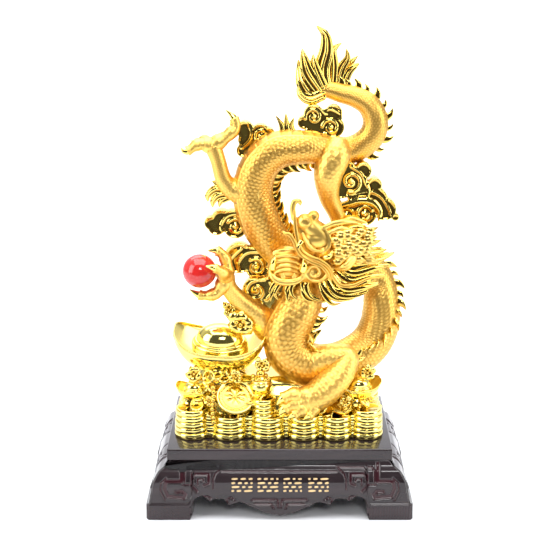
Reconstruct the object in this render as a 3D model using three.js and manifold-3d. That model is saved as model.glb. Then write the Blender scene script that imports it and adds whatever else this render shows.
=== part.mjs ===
// A gilded resin ornament about 31 cm tall. A four-legged dragon coils upwards over a bed of coins and
// ingots, among scrolled clouds, and holds a red ball in one front claw. The gold casting stands on a dark
// plinth with scrolled legs. Millimetres: X right, Y away from the viewer, Z up, origin on the ground.
import * as THREE from "three";
import { mergeVertices } from "three/addons/utils/BufferGeometryUtils.js";
import Module from "manifold-3d";

// Driving dimensions
const FOOT_SPAN_X = 171;
const FOOT_SPAN_Y = 118;
const FOOT_WIDTH = 29;
const FOOT_HEIGHT = 10.5;
const SLAB_X = 146;
const SLAB_Y = 105;
const SLAB_TOP = 46;
const SLAB_THICKNESS = 8;
const BOARD_THICKNESS = 6;
const CARVING_RISE = 0.9;
const CARVING_DEPTH = 8;
const DROP_HEIGHT = 9.2;
const SEAT_GAP = 0.3;
const COIN_THICKNESS = 3.85;
const COINS_IN_STACK = 4;
const PEARL_RADIUS = 11;
const PEARL_CENTRE = [-51.7, -22, 156.9];
const PEARL_ROUND = 12;
const PEARL_TALL = 8;
const BED_FLOOR = SLAB_TOP + SEAT_GAP;
const BED_TOP = BED_FLOOR + COIN_THICKNESS * COINS_IN_STACK;

const wasm = await Module();
wasm.setup();

// A closed three.js geometry as a solid, and a solid as a three.js geometry.
function solidOf(geometry) {
  const bare = geometry.clone();
  bare.deleteAttribute("normal");
  bare.deleteAttribute("uv");
  const merged = mergeVertices(bare, 1e-4);
  return new wasm.Manifold(
    new wasm.Mesh({
      numProp: 3,
      vertProperties: new Float32Array(merged.attributes.position.array),
      triVerts: new Uint32Array(merged.index.array),
    }),
  );
}

function geometryOf(solid) {
  const mesh = solid.getMesh();
  return new THREE.BufferGeometry()
    .setAttribute("position", new THREE.BufferAttribute(new Float32Array(mesh.vertProperties), 3))
    .setIndex(new THREE.BufferAttribute(new Uint32Array(mesh.triVerts), 1));
}

const fuse = (solids) => solids.reduce((all, next) => all.add(next));
const vector = ([x, y, z]) => new THREE.Vector3(x, y, z);
const radians = THREE.MathUtils.degToRad;

// A smooth line through stations [x, y, z, radius, ...], with every further value eased along it too.
function route(stations) {
  const line = new THREE.CatmullRomCurve3(stations.map(vector), false, "catmullrom", 0.5);
  const value = (column) => {
    const values = stations.map((station) => new THREE.Vector3(station[column] ?? 0, 0, 0));
    return new THREE.CatmullRomCurve3(values, false, "catmullrom", 0.5);
  };
  const radii = value(3);
  const turns = value(4);
  return {
    line,
    at(u) {
      const t = line.getUtoTmapping(u);
      return {
        point: line.getPoint(t),
        along: line.getTangent(t),
        radius: Math.max(0.2, radii.getPoint(t).x),
        turn: turns.getPoint(t).x,
      };
    },
  };
}

// A closed cylinder bent along a route, as wide as the route says, and flattened front to back by depth.
function limb(stations, sides, steps, depth = 1) {
  const way = route(stations);
  const frames = way.line.computeFrenetFrames(steps, false);
  const bent = new THREE.CylinderGeometry(1, 1, 1, sides, steps);
  const points = bent.attributes.position;
  for (let i = 0; i < points.count; i++) {
    const step = Math.round((0.5 - points.getY(i)) * steps);
    const { point, radius } = way.at(step / steps);
    const offset = new THREE.Vector3()
      .addScaledVector(frames.normals[step], points.getX(i) * radius)
      .addScaledVector(frames.binormals[step], points.getZ(i) * radius);
    points.setXYZ(i, point.x + offset.x, point.y + offset.y * depth, point.z + offset.z);
  }
  return solidOf(bent);
}

function ball([x, y, z], rx, ry = rx, rz = rx, round = 8, tall = 5) {
  const geometry = new THREE.SphereGeometry(1, round, tall).rotateX(Math.PI / 2);
  return solidOf(geometry.scale(rx, ry, rz).translate(x, y, z));
}

// A three-sided thorn that stands on a surface at a point, with its length along one direction.
function thorn(at, along, out, length, height, thickness, lean = 0) {
  const side = new THREE.Vector3().crossVectors(along, out);
  const rise = out.clone().multiplyScalar(height).addScaledVector(along, lean);
  const place = new THREE.Matrix4()
    .makeBasis(along.clone().multiplyScalar(length / 2), rise, side.multiplyScalar(thickness / 2))
    .setPosition(at.clone().addScaledVector(rise, 0.5));
  return solidOf(new THREE.ConeGeometry(1, 1, 3, 1).applyMatrix4(place));
}

// Plinth: a slab on a frieze with scrolled corner legs, all in one casting. Two outlines, one seen from the
// front and one from the side, are cut through each other, so every leg flares outwards on both faces.
function standOutline(half, footHalf, apron) {
  const flare = footHalf - half;
  const inner = footHalf - FOOT_WIDTH;
  const share = inner / 56.5;
  const leg = [[-0.16, 37.5], [0, 35], [0.34, 32], [0.66, 25], [0.82, FOOT_HEIGHT]];
  const foot = [
    [footHalf, FOOT_HEIGHT],
    [footHalf, 1.2],
    [footHalf - 1.2, 0],
    [inner, 0],
    [inner, FOOT_HEIGHT],
  ];
  const right = [
    ...leg.map(([f, z]) => [half + f * flare, z]),
    ...foot,
    ...apron.map(([back, z]) => [inner - back * share, z]),
  ];
  const [dropStart, dropTop] = right.at(-1);
  for (const part of [1 / 3, 2 / 3]) {
    right.push([dropStart * (1 - part), dropTop - DROP_HEIGHT * Math.sin((part * Math.PI) / 2)]);
  }
  const outline = [...right, [0, dropTop - DROP_HEIGHT], ...right.map(([x, z]) => [-x, z]).reverse()];
  return new THREE.Shape(outline.map(([x, z]) => new THREE.Vector2(x, z)));
}

// An outline drawn in x and z, run front to back for the given depth, or turned to run side to side.
function upright(shape, depth) {
  const block = new THREE.ExtrudeGeometry(shape, { depth, bevelEnabled: false });
  return block.translate(0, 0, -depth / 2).rotateX(Math.PI / 2);
}

// A flat band of one width along a square-cornered path, as one box for each straight run.
function band(path, width) {
  return path.slice(1).map(([x1, z1], i) => {
    const [x0, z0] = path[i];
    const run = new THREE.BoxGeometry(Math.abs(x1 - x0) + width, CARVING_DEPTH, Math.abs(z1 - z0) + width);
    return run.translate((x0 + x1) / 2, 0, (z0 + z1) / 2);
  });
}

// The carving of one face, turned to its side of the plinth: a squared scroll on each leg, a fret beside it
// on the front, and an arched panel in the middle.
function carving(footHalf, distance, panelHalf, fretted, turn) {
  const out = footHalf - FOOT_SPAN_X / 2;
  const scroll = [[62, 27], [74, 27], [74, 16.5], [60, 16.5], [60, 21.8], [67, 21.8]];
  const fret = [[66, 31.8], [44.5, 31.8], [44.5, 24]];
  const hook = [[56, 22.5], [56, 28], [48.5, 28], [48.5, 24.2], [52, 24.2]];
  const onSide = (side, path) => path.map(([x, z]) => [side * (x + out), z]);
  const bands = [-1, 1].flatMap((side) => [
    ...band(onSide(side, scroll), 2.4),
    ...(fretted ? [fret, hook].flatMap((path) => band(onSide(side, path), 2)) : []),
  ]);
  const arch = [[-1, 16], [1, 16], [1, 29.5], [0.93, 32.6], [0.5, 34], [-0.5, 34], [-0.93, 32.6], [-1, 29.5]];
  const outline = new THREE.Shape(arch.map(([x, z]) => new THREE.Vector2(x * panelHalf, z)));
  const panel = upright(outline, CARVING_DEPTH);
  return [...bands, panel].map((piece) => solidOf(piece.translate(0, 2 - distance, 0).rotateZ(turn)));
}

// The frieze with its legs, grown outwards by the given amount on all four faces.
function stand(grown) {
  const waved = [[1, 13.5], [6, 16], [11, 12.6], [20, 14.4], [23.5, 10.2], [31, 12.4]];
  const smooth = [[1, 14], [31, 12.4]];
  const front = upright(standOutline(SLAB_X / 2, FOOT_SPAN_X / 2, waved), FOOT_SPAN_Y);
  const side = upright(standOutline(SLAB_Y / 2, FOOT_SPAN_Y / 2, smooth), FOOT_SPAN_X).rotateZ(Math.PI / 2);
  const [wide, deep] = [FOOT_SPAN_X, FOOT_SPAN_Y].map((span) => (span + 2 * grown) / span);
  return solidOf(front.scale(wide, deep, 1)).intersect(solidOf(side.scale(wide, deep, 1)));
}

function plinth() {
  const [halfX, halfY] = [FOOT_SPAN_X / 2, FOOT_SPAN_Y / 2];
  const faces = fuse([
    ...carving(halfX, halfY, 41, true, 0),
    ...carving(halfX, halfY, 41, false, Math.PI),
    ...carving(halfY, halfX, 17, false, Math.PI / 2),
    ...carving(halfY, halfX, 17, false, -Math.PI / 2),
  ]);
  const inside = new THREE.BoxGeometry(SLAB_X - 2 * BOARD_THICKNESS, SLAB_Y - 2 * BOARD_THICKNESS, 68);
  const feet = [-1, 1].flatMap((sx) =>
    [-1, 1].map((sy) => {
      const foot = new THREE.BoxGeometry(FOOT_WIDTH - 2, FOOT_WIDTH - 2, FOOT_HEIGHT);
      const [x, y] = [sx * (FOOT_SPAN_X - FOOT_WIDTH) * 0.5, sy * (FOOT_SPAN_Y - FOOT_WIDTH) * 0.5];
      return solidOf(foot.translate(x, y, FOOT_HEIGHT / 2));
    }),
  );
  const neck = new THREE.BoxGeometry(SLAB_X - 6, SLAB_Y - 6, 6).translate(0, 0, SLAB_TOP - SLAB_THICKNESS - 1);
  const edge = 0.9;
  const rim = [[-1, -1], [1, -1], [1, 1], [-1, 1]].map(
    ([x, y]) => new THREE.Vector2(x * (SLAB_X / 2 - edge), y * (SLAB_Y / 2 - edge)),
  );
  const depth = SLAB_THICKNESS - 2 * edge;
  const bevel = { depth, bevelThickness: edge, bevelSize: edge, bevelSegments: 1 };
  const slab = new THREE.ExtrudeGeometry(new THREE.Shape(rim), bevel);
  slab.translate(0, 0, SLAB_TOP - edge - depth);
  const carved = stand(0).add(faces.intersect(stand(CARVING_RISE))).subtract(solidOf(inside));
  return fuse([carved, ...feet, solidOf(neck), solidOf(slab)]);
}

// Bed: stacks of coins along all four sides round a mound of treasure.
const STACKS_FRONT = [
  [-57.5, -26, 12], [-32.7, -27, 12.6], [-7.7, -27.5, 12.4],
  [15.9, -28, 11.9], [37.6, -28, 11.2], [57.6, -27, 10.9],
];
const STACKS_AROUND = [
  [-58, -4, 10.8], [-58, 17, 10.8], [58, -5, 10.8], [58, 16, 10.8],
  [-41, 31, 11.8], [-14, 32, 11.8], [13, 32, 11.8], [40, 31, 11.8],
];

function coinStack([x, y, radius]) {
  const profile = [new THREE.Vector2(0, 0)];
  for (let i = 0; i < COINS_IN_STACK; i++) {
    const wide = radius * (1 - 0.018 * i);
    profile.push(new THREE.Vector2(wide, i * COIN_THICKNESS + 0.5));
    profile.push(new THREE.Vector2(wide - 0.9, (i + 1) * COIN_THICKNESS));
  }
  profile.push(new THREE.Vector2(0, COINS_IN_STACK * COIN_THICKNESS));
  const stack = new THREE.LatheGeometry(profile, 7).rotateX(Math.PI / 2);
  return solidOf(stack.translate(x, y, BED_FLOOR));
}

function plainStack([x, y, radius]) {
  const height = COINS_IN_STACK * COIN_THICKNESS;
  const stack = new THREE.CylinderGeometry(radius * 0.94, radius, height, 6).rotateX(Math.PI / 2);
  return solidOf(stack.translate(x, y, BED_FLOOR + height / 2));
}

// A boat-shaped ingot: a hull with broad, upturned ends round a smooth dome, leaning towards the viewer.
function ingot([x, y, z], half, yaw, tilt, lean, round) {
  const broad = half * 0.56;
  const hull = new THREE.SphereGeometry(1, round, round / 2).rotateX(Math.PI / 2);
  const points = hull.attributes.position;
  for (let i = 0; i < points.count; i++) {
    const [sx, sy, pz] = [points.getX(i), points.getY(i), points.getZ(i)];
    const reach = Math.hypot(sx, sy) || 1;
    const px = Math.sign(sx) * Math.abs(sx / reach) ** 0.67 * reach;
    const py = Math.sign(sy) * Math.abs(sy / reach) ** 0.67 * reach;
    const horn = 0.3 * half * px * px * Math.abs(px);
    const height = pz < 0 ? pz * half * 0.68 : -0.05 * half * pz;
    points.setXYZ(i, px * half, py * broad, Math.max(-0.6 * half, height) + horn);
  }
  const dome = new THREE.SphereGeometry(1, Math.max(6, round - 2), round / 2).rotateX(Math.PI / 2);
  dome.scale(half * 0.56, broad * 0.74, half * 0.42);
  const turned = (form) => form.rotateX(radians(lean)).rotateY(radians(tilt)).rotateZ(radians(yaw));
  const placed = (form) => turned(form).translate(x, y, z);
  return solidOf(placed(hull)).add(solidOf(placed(dome)));
}

function treasure() {
  const bowlProfile = [[0, 0], [4.2, 0], [7, 6], [6.6, 9.5], [4.6, 11], [4.4, 14], [0, 18]];
  const outline = bowlProfile.map(([radius, height]) => new THREE.Vector2(radius, height));
  const bowl = new THREE.LatheGeometry(outline, 7).rotateX(Math.PI / 2);
  const bigCoin = (at, radius, thickness, lean, yaw) => {
    const disc = new THREE.CylinderGeometry(radius, radius, thickness, 8).rotateX(Math.PI / 2);
    return solidOf(disc.rotateX(radians(lean)).rotateZ(radians(yaw)).translate(...at));
  };
  const column = new THREE.CylinderGeometry(7.2, 7.6, 16, 7).rotateX(Math.PI / 2).translate(-10.5, -31, 66);
  return fuse([
    solidOf(bowl.translate(-12.4, -27.5, 74)),
    solidOf(column),
    bigCoin([-29, -30, 73], 12.4, 3, 40, 8),
    bigCoin([-19, -27, 74], 9.5, 3, 34, -22),
    bigCoin([41, -24, 66], 8, 3, 34, 12),
    ingot([-57, -20, 76], 11.5, -14, 0, 14, 6),
    ingot([53, -18, 77.5], 14.5, 18, 0, 14, 6),
    ingot([-39.5, -10, 105], 31, -4, 2, 17, 10),
  ]);
}

// The heap under it all: a low mound, and a knoll that carries the large ingot.
function heap([x, y, z], half, deep, height, top) {
  const cone = new THREE.CylinderGeometry(top, 1, height, 8).rotateX(Math.PI / 2).scale(half, deep, 1);
  return solidOf(cone.translate(x, y, z + height / 2));
}

function bed() {
  const floor = new THREE.BoxGeometry(120, 58, BED_TOP - BED_FLOOR - 1);
  floor.translate(0, 1, (BED_FLOOR + BED_TOP - 1) / 2);
  const mounds = [heap([1, 0, 55], 66, 28, 28, 0.7), heap([-40, -8, 60], 25, 21, 29, 0.55)];
  const stacks = [...STACKS_FRONT.map(coinStack), ...STACKS_AROUND.map(plainStack)];
  return fuse([solidOf(floor), ...mounds, ...stacks, treasure()]);
}

// Body: one tapering tube from the tail, through the upper arch and the lower coil, to the neck. The last
// value of a station turns the spine from the left of the line of travel, at 0, past the viewer, at 90.
const BODY = [
  [26, 10, 271.5, 5, 0],
  [33, 10, 269.8, 5.8, 0],
  [41, 10, 267.4, 6.3, 0],
  [49.5, 9.5, 265.2, 6.9, 0],
  [58, 8.5, 260, 7.6, 0],
  [62.3, 8, 250.5, 8.2, 0],
  [60.4, 9, 240.6, 8.6, 0],
  [52.7, 11, 233, 8.9, 0],
  [43.7, 11, 229.8, 9.2, 0],
  [34, 6, 231.3, 9.6, 0],
  [24.5, 0, 233.4, 10.2, 0],
  [12.5, -4, 234.6, 11.1, 0],
  [-1, -4, 232.8, 12, 0],
  [-12, -3, 223.8, 12.6, 0],
  [-17.3, -1, 208, 13.1, 0],
  [-15, 0, 191.2, 13.4, 0],
  [-7.6, 2, 174.6, 13, 0],
  [2, 4, 162, 12.8, 0],
  [10.5, 2, 151.5, 13, 0],
  [15, -4, 142.5, 13.5, 5],
  [14, -9, 133.5, 14.3, 8],
  [9.5, -12, 124.5, 15, 12],
  [4.8, -13, 113, 15.4, 16],
  [6, -13, 101, 15.3, 24],
  [15, -12, 92, 14.9, 36],
  [30.4, -8, 88, 14.3, 50],
  [47.4, -2, 91.5, 14, 66],
  [61, 3, 100.5, 13.8, 86],
  [67.6, 5, 114.6, 13.2, 120],
  [68.1, 6, 129.7, 12, 160],
  [66, 8, 141.7, 11, 180],
  [59, 6, 153.5, 10.3, 185],
  [48, 0, 162, 10, 185],
  [37, -9, 168, 10, 180],
  [30, -13, 170, 9, 180],
];
const SPINE_START = 0.035;
const SPINE_END = 0.95;
const SPINE_TEETH = 38;

// Where the back's ridge runs: a unit direction square to the body, from the turn that its stations give.
function ridgeAt(place) {
  const left = new THREE.Vector3(-place.along.z, 0, place.along.x).normalize();
  const turn = radians(place.turn);
  const out = left.multiplyScalar(Math.cos(turn));
  out.addScaledVector(new THREE.Vector3(0, -1, 0), Math.sin(turn));
  return out.addScaledVector(place.along, -out.dot(place.along)).normalize();
}

function body() {
  const way = route(BODY);
  const teeth = [];
  for (let i = 0; i < SPINE_TEETH; i++) {
    const place = way.at(SPINE_START + ((SPINE_END - SPINE_START) * i) / (SPINE_TEETH - 1));
    const out = ridgeAt(place);
    const foot = place.point.clone().addScaledVector(out, place.radius * 0.84 - 0.8);
    const size = 0.62 + place.radius / 30;
    teeth.push(thorn(foot, place.along, out, 8 * size, 7.6 * size, 3.2 * size, -3.4 * size));
  }
  return fuse([limb(BODY, 7, 40), ...teeth]);
}

// Tail: flame-shaped locks that fan out from the end of the body.
const TAIL_FLAMES = [
  [[29.5, 8, 270, 4.5], [27.2, 8, 283, 5.2], [30, 8, 295.7, 4.6], [29.2, 8, 305.2, 2.9], [23.4, 8, 311.3, 0.5]],
  [[26, 6, 269, 4], [18.3, 5, 281.7, 4.2], [15.7, 5, 290.6, 2.8], [14.4, 5, 297, 0.5]],
  [[27, 8, 268.5, 4], [18.4, 7, 271, 4], [14.4, 7, 277, 3.2], [12, 7, 285, 0.5]],
  [[28, 5, 272, 3.6], [22.4, 5, 285, 3.2], [21.5, 5, 293.5, 0.5]],
  [[33.5, 10, 270, 3.8], [34.3, 11, 284, 4.2], [34.5, 12, 295, 2.6], [40.2, 12, 300, 0.5]],
  [[36.5, 11, 270, 3.6], [40, 12, 283, 3.4], [43.8, 12, 290, 2.2], [43, 12, 296.5, 0.4]],
  [[39.5, 11, 269, 3.2], [44.6, 12, 280.5, 2.8], [49, 12, 285, 1.8], [51.8, 12, 286.6, 0.4]],
  [[40, 13, 272, 2.8], [45, 14, 285, 2.6], [50.8, 14, 291.6, 0.5]],
];

// Legs: each list runs from the body to the ankle.
const LEGS = {
  upper_left: [
    [-14, 0, 206, 14], [-24, -1, 206, 11], [-32, -3, 208.5, 7],
    [-36.5, -5, 214.5, 5.4], [-39.7, -6, 226.6, 5], [-43, -6, 236, 5.6],
  ],
  upper_right: [
    [38, -1, 240, 6], [36, -4, 230, 10], [31.5, -5, 217, 9.4],
    [32.4, -2, 202, 6.8], [38, 2, 188, 5.4], [41, 4, 174, 5],
  ],
  pearl_arm: [
    [-1, -2, 108, 11], [-8, -6, 116, 10.4], [-16, -11, 125, 8.4],
    [-26, -15, 135, 6.4], [-33, -19, 145, 5.4], [-34.5, -21, 153, 5.6],
  ],
  front: [
    [22, -14, 92, 11.5], [34, -18, 97, 9.5], [45, -21, 98.5, 7], [41, -25, 90, 9],
    [32, -29, 80.5, 10.4], [22, -32, 73.5, 9.6], [16, -33.5, 71, 7],
  ],
};
const TOES = {
  upper_left: [
    [[-43, -6, 236, 5.6], [-52, -8, 237, 4], [-60, -10, 232.8, 2.6], [-64.2, -10, 236.2, 0.4]],
    [
      [-43, -6, 236, 5.6], [-33, -6, 242.6, 4.2], [-28, -6, 248.5, 3.4],
      [-30, -6, 255, 2.2], [-35.8, -6, 260, 0.4],
    ],
    [[-43, -6, 236, 5], [-46, 1, 241, 3.4], [-51, 5, 244, 2.2], [-53.5, 4, 240.5, 0.4]],
    [[-43, -6, 236, 5], [-37, 2, 242, 3.4], [-37, 7, 247, 2.2], [-41, 6, 249.5, 0.4]],
  ],
  pearl_arm: [
    [[-34.5, -21, 153, 5.6], [-34.5, -21, 163, 4], [-39.5, -22, 170, 3], [-47.5, -23, 170.5, 0.5]],
    [[-34.5, -21, 153, 5.6], [-36, -31, 158, 3.6], [-41, -35, 162, 2.6], [-48, -34.5, 163.5, 0.5]],
    [[-34.5, -21, 151, 5.6], [-41, -23, 142.5, 4.2], [-51, -23, 141, 3], [-59.5, -23, 145.5, 0.6]],
    [[-34.5, -21, 153, 5.6], [-39, -11, 153, 3.8], [-46, -8, 157, 2.8], [-52.5, -9, 162, 0.5]],
  ],
  front: [
    [[19, -32, 74, 8], [9, -36, 77, 5.2], [2.5, -38, 75.5, 4], [-2.6, -39, 70.5, 0.8]],
    [[19, -33, 72, 8], [9, -37, 71, 5], [3, -39, 68.5, 4], [-1, -40, 63.5, 0.8]],
    [[20, -33, 71, 8], [13, -38, 67, 4.6], [8.5, -39.6, 64.5, 3.6], [5, -40.4, 61.8, 0.8]],
    [[24, -32, 73, 7], [22, -37, 67.5, 4.2], [19, -39, 64, 3.2], [15, -40, 61.8, 0.8]],
  ],
};
// Tufts of hair at the elbows and on the back: [start, tip, radius at the start].
const TUFTS = [
  [[-32, -3, 207, 3], [-40.5, -4, 205.5, 2.6], [-46.2, -4, 211.5, 0.4]],
  [[-30, -3, 205, 3], [-41, -4, 199, 2.6], [-45.5, -4, 203.5, 0.4]],
  [[-28, -2, 203, 3], [-39.5, -3, 194.5, 2.2], [-45, -3, 196, 0.4]],
  [[2, -2, 240, 3], [1.5, -2, 248, 2], [-2.5, -2, 255, 0.4]],
  [[6, -2, 241, 3], [4.5, -2, 249, 2.2], [4, -2, 256.5, 0.4]],
  [[9, -2, 241, 3], [7.5, -2, 248, 2], [9.2, -2, 253.5, 0.4]],
  [[45, -20, 98, 3.4], [51, -21, 99.5, 2.4], [54.5, -21, 104, 0.4]],
  [[45, -20, 97, 3.4], [51.5, -21, 96, 2.4], [56.5, -21, 98.5, 0.4]],
];

// Whisker: from the nose along the edge of the upper lip, and back over the mane.
const WHISKER = [
  [3.4, -24, 181.6, 0.5], [8, -25.6, 181, 1.4], [12, -27, 174.6, 1.6], [17.5, -28.4, 169.4, 1.7],
  [25, -28, 166, 1.7], [31, -25.6, 160, 1.7], [35.5, -24.6, 153, 1.6], [43, -24, 149, 1.4],
  [54, -21, 152, 1.2], [67, -15, 152, 0.5],
];

// Head: it looks up to the left and out at the viewer, with the mouth wide open.
function head() {
  const mouth = ball([5, -24, 166.5], 9.2, 9.5, 7.4, 7, 4);
  const jaw = ball([6, -21, 157.5], 13, 10.5, 8.5, 8, 4).subtract(mouth);
  const snout = limb([[32, -13, 169, 10.4], [27, -18, 177.5, 9], [21, -21, 185, 6.8], [17.4, -22, 190, 5]], 7, 3);
  return fuse([
    ball([33, -12, 167], 12, 11, 11.5),
    snout,
    jaw,
    limb([[30, -14, 158, 9], [22, -20, 157, 8.6], [13, -21, 156, 6.6]], 6, 2),
    limb([[17, -18, 160, 4.4], [8, -23, 161, 4.2], [2, -28, 163.5, 1.4]], 4, 2),
    limb([[28, -16, 173, 6], [20, -19, 178, 5.6], [14, -21, 184, 4.4]], 5, 2),
    ball([19.4, -25, 190.6], 4.4, 3.8, 4.4, 6, 4),
    ball([13.4, -21.5, 191], 3.4, 3.4, 4, 6, 4),
    limb([[28, -24, 181, 2], [24, -27, 175, 3], [27, -27, 170, 2.4], [32, -24, 167, 1]], 3, 3),
    ball([29.6, -23.6, 175.4], 2.6, 2.6, 2.6, 5, 3),
    limb([[12, -22, 188, 2], [10.6, -22, 195, 1.8], [8, -22, 200, 1.6], [10.8, -22, 203, 0.6]], 3, 4),
    limb([[32, -21, 170, 2.2], [33.6, -23.6, 165.4, 1.7], [30, -25.4, 163.2, 0.4]], 4, 2),
    limb([[14.4, -26, 180, 2], [11.6, -28, 175.4, 1.4], [12.4, -28, 170.6, 0.3]], 4, 2),
    limb([[-4.6, -26, 159, 2.6], [-5.4, -27, 164, 1.9], [-4.2, -27, 169, 0.3]], 4, 2),
    limb([[15.8, -28, 157, 2.8], [16.2, -29, 162.6, 2], [15, -28.6, 167.4, 0.3]], 4, 2),
    limb(WHISKER, 3, 8),
    limb([[28, -14, 178, 4], [36, -15, 185.4, 3.2], [46, -13, 186.4, 2.6], [57, -11, 183.6, 0.7]], 4, 3),
    limb([[34, -4, 176, 3.6], [46, -2, 186, 3], [60, 1, 183, 0.7]], 4, 2),
    limb([[36, -18, 160, 3.4], [44, -22, 161.6, 4.6], [53, -19, 163.6, 0.7]], 4, 3),
    ball([25, -21, 156], 8.6, 7.6, 8.6, 6, 4),
  ]);
}

// Mane and beard: locks that stream to the right over the neck, and hang under the jaw.
const MANE = [
  [[37, -13, 175, 5], [48, -13, 180, 4.4], [56, -11, 180.6, 3], [62.5, -8, 180.8, 0.6]],
  [[38, -14, 173, 5], [50, -14, 174.5, 4.6], [60, -11, 172.4, 3], [66.5, -8, 173.6, 0.6]],
  [[38, -15, 168, 5], [50, -16, 167.5, 4.8], [62, -12, 166.4, 3.2], [70.5, -8, 167.6, 0.6]],
  [[38, -15, 164, 5], [50, -16, 161.5, 4.8], [64, -12, 162, 3.4], [76, -7, 165.4, 0.6]],
  [[37, -16, 160, 4.6], [48, -18, 155, 4.6], [62, -15, 157.5, 3.4], [74, -9, 157.5, 0.6]],
  [[35, -17, 157, 4.6], [46, -19, 149.5, 4.4], [58, -17, 151.5, 3.4], [70, -12, 151.5, 0.6]],
  [[33, -17, 155, 4.4], [42, -20, 145.5, 4.4], [54, -19, 146, 3.2], [66, -14, 146.5, 0.6]],
  [[29, -16, 153, 4.4], [37, -20, 142, 4.2], [48, -20, 140.5, 3], [59, -18, 142.5, 0.6]],
  [[26, -16, 154, 4.4], [30, -20, 144, 4], [37, -21, 137.6, 2.8], [48, -20, 136.6, 0.6]],
  [[20, -16, 154, 4.4], [17, -20, 147, 3.8], [20, -21, 140, 2.6], [28, -21, 136.4, 0.6]],
  [[12, -18, 153, 4], [8, -20, 147, 3.4], [8, -21, 141, 2.4], [13, -22, 136, 0.6]],
  [[3, -18, 152, 3.6], [-1, -19, 146, 3], [-3, -20, 141, 2], [-0.6, -21, 136.4, 0.5]],
];

// Clouds: flat slabs with a lobed edge, each with one or more raised spirals on its front.
function cloud(y, thickness, lobes, points = 18) {
  const [cx, cz] = lobes[0];
  const edge = thickness * 0.32;
  const outline = [];
  for (let i = 0; i < points; i++) {
    const angle = (i / points) * 2 * Math.PI;
    const [dx, dz] = [Math.cos(angle), Math.sin(angle)];
    let reach = 0;
    for (const [x, z, radius] of lobes) {
      const ahead = (x - cx) * dx + (z - cz) * dz;
      const aside = (x - cx) * dz - (z - cz) * dx;
      if (Math.abs(aside) < radius) {
        reach = Math.max(reach, ahead + Math.sqrt(radius * radius - aside * aside));
      }
    }
    outline.push(new THREE.Vector2(cx + (reach - edge) * dx, cz + (reach - edge) * dz));
  }
  const depth = thickness - 2 * edge;
  const bevel = { depth, bevelThickness: edge, bevelSize: edge, bevelSegments: 1 };
  const slab = new THREE.ExtrudeGeometry(new THREE.Shape(outline), bevel);
  return solidOf(slab.translate(0, 0, -depth / 2).rotateX(Math.PI / 2).translate(0, y, 0));
}

function spiral([x, y, z], radius, start, hand) {
  const steps = 4;
  const rim = radius * 0.2;
  const stations = [];
  for (let i = 0; i <= steps; i++) {
    const share = i / steps;
    const angle = radians(start) + hand * share * 2.6 * Math.PI;
    const reach = (radius - rim) * (1 - 0.86 * share);
    stations.push([x + reach * Math.cos(angle), y, z + reach * Math.sin(angle), rim]);
  }
  return limb(stations, 3, steps);
}

function clouds() {
  return fuse([
    cloud(4, 8, [[24, 250, 9], [22, 255, 6.6], [35, 256, 5.6], [35, 247, 7], [16, 250, 4.5]], 12),
    spiral([22, -0.4, 255], 5.6, 200, -1),
    spiral([33, -0.4, 247], 5.6, 180, -1),
    cloud(5, 8, [[-18, 238, 6], [-21, 241, 6.8], [-12.5, 241.5, 6.6], [-23.5, 231, 4.6]], 10),
    spiral([-12.5, 0.6, 241.5], 5.4, 60, 1),
    cloud(4, 8, [[-31, 185, 8.5], [-38, 187, 7.6], [-46, 184.5, 4.8], [-29, 181.5, 8.2], [-20, 187, 7]], 10),
    spiral([-29.5, -0.4, 182], 7, 150, -1),
    cloud(0, 9, [[-20, 160, 9], [-26.5, 161, 10.2], [-15, 155, 8], [-8, 163, 9]], 10),
    spiral([-15.5, -5, 155.5], 6.8, 130, -1),
    cloud(-5, 9, [[-10, 140, 9], [-16, 140, 8.8], [-2, 145, 8], [-4, 132, 8]], 11),
    spiral([-15.5, -9.8, 140.3], 7.8, 90, 1),
    cloud(4, 9, [[48, 213, 9], [54.5, 218.5, 5.6], [42, 218, 8], [51, 205, 8], [40, 208, 8]], 12),
    spiral([46.5, -0.8, 211.5], 7.6, 250, 1),
    cloud(5, 10, [
      [55, 196, 11], [62, 199, 9], [69, 193, 7.6], [76, 187.6, 2.6],
      [56, 190, 8], [42, 189, 8], [44, 184, 9], [62, 209, 5],
    ], 14),
    spiral([55.5, -0.6, 190.5], 6.6, 20, 1),
    spiral([43.5, -0.6, 189.5], 6, 30, 1),
  ]);
}

function dragon() {
  const legs = Object.values(LEGS).map((stations) => limb(stations, 6, 6));
  const toes = Object.values(TOES).flatMap((paw) => paw.map((stations) => limb(stations, 3, 3)));
  const flames = TAIL_FLAMES.map((stations) => limb(stations, 3, 4, 0.8));
  const tufts = TUFTS.map((stations) => limb(stations, 3, 1));
  const mane = MANE.map((stations) => limb(stations, 3, 3, 0.9));
  const casting = fuse([bed(), body(), ...legs, ...toes, ...flames, ...tufts, ...mane, head(), clouds()]);
  const seat = PEARL_RADIUS + SEAT_GAP;
  return casting.subtract(ball(PEARL_CENTRE, seat, seat, seat, PEARL_ROUND, PEARL_TALL));
}

function named(name, geometry, color, roughness, metalness) {
  const mesh = new THREE.Mesh(geometry, new THREE.MeshStandardMaterial({ color, roughness, metalness }));
  mesh.name = name;
  return mesh;
}

const pearl = new THREE.SphereGeometry(PEARL_RADIUS, PEARL_ROUND, PEARL_TALL).rotateX(Math.PI / 2);
pearl.translate(...PEARL_CENTRE);
const ornament = new THREE.Group();
ornament.add(
  named("plinth", geometryOf(plinth()), 0x1c1114, 0.25, 0),
  named("dragon", geometryOf(dragon()), 0xe0a83c, 0.35, 1),
  named("pearl", pearl, 0xd0202a, 0.15, 0),
);

export default ornament;
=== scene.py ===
# A gilded resin dragon, coiled above a bed of coins and ingots, on a dark plinth. It holds a red ball.
import math
import random

import bmesh
import bpy
import numpy as np
from mathutils import Matrix, Vector


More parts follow.
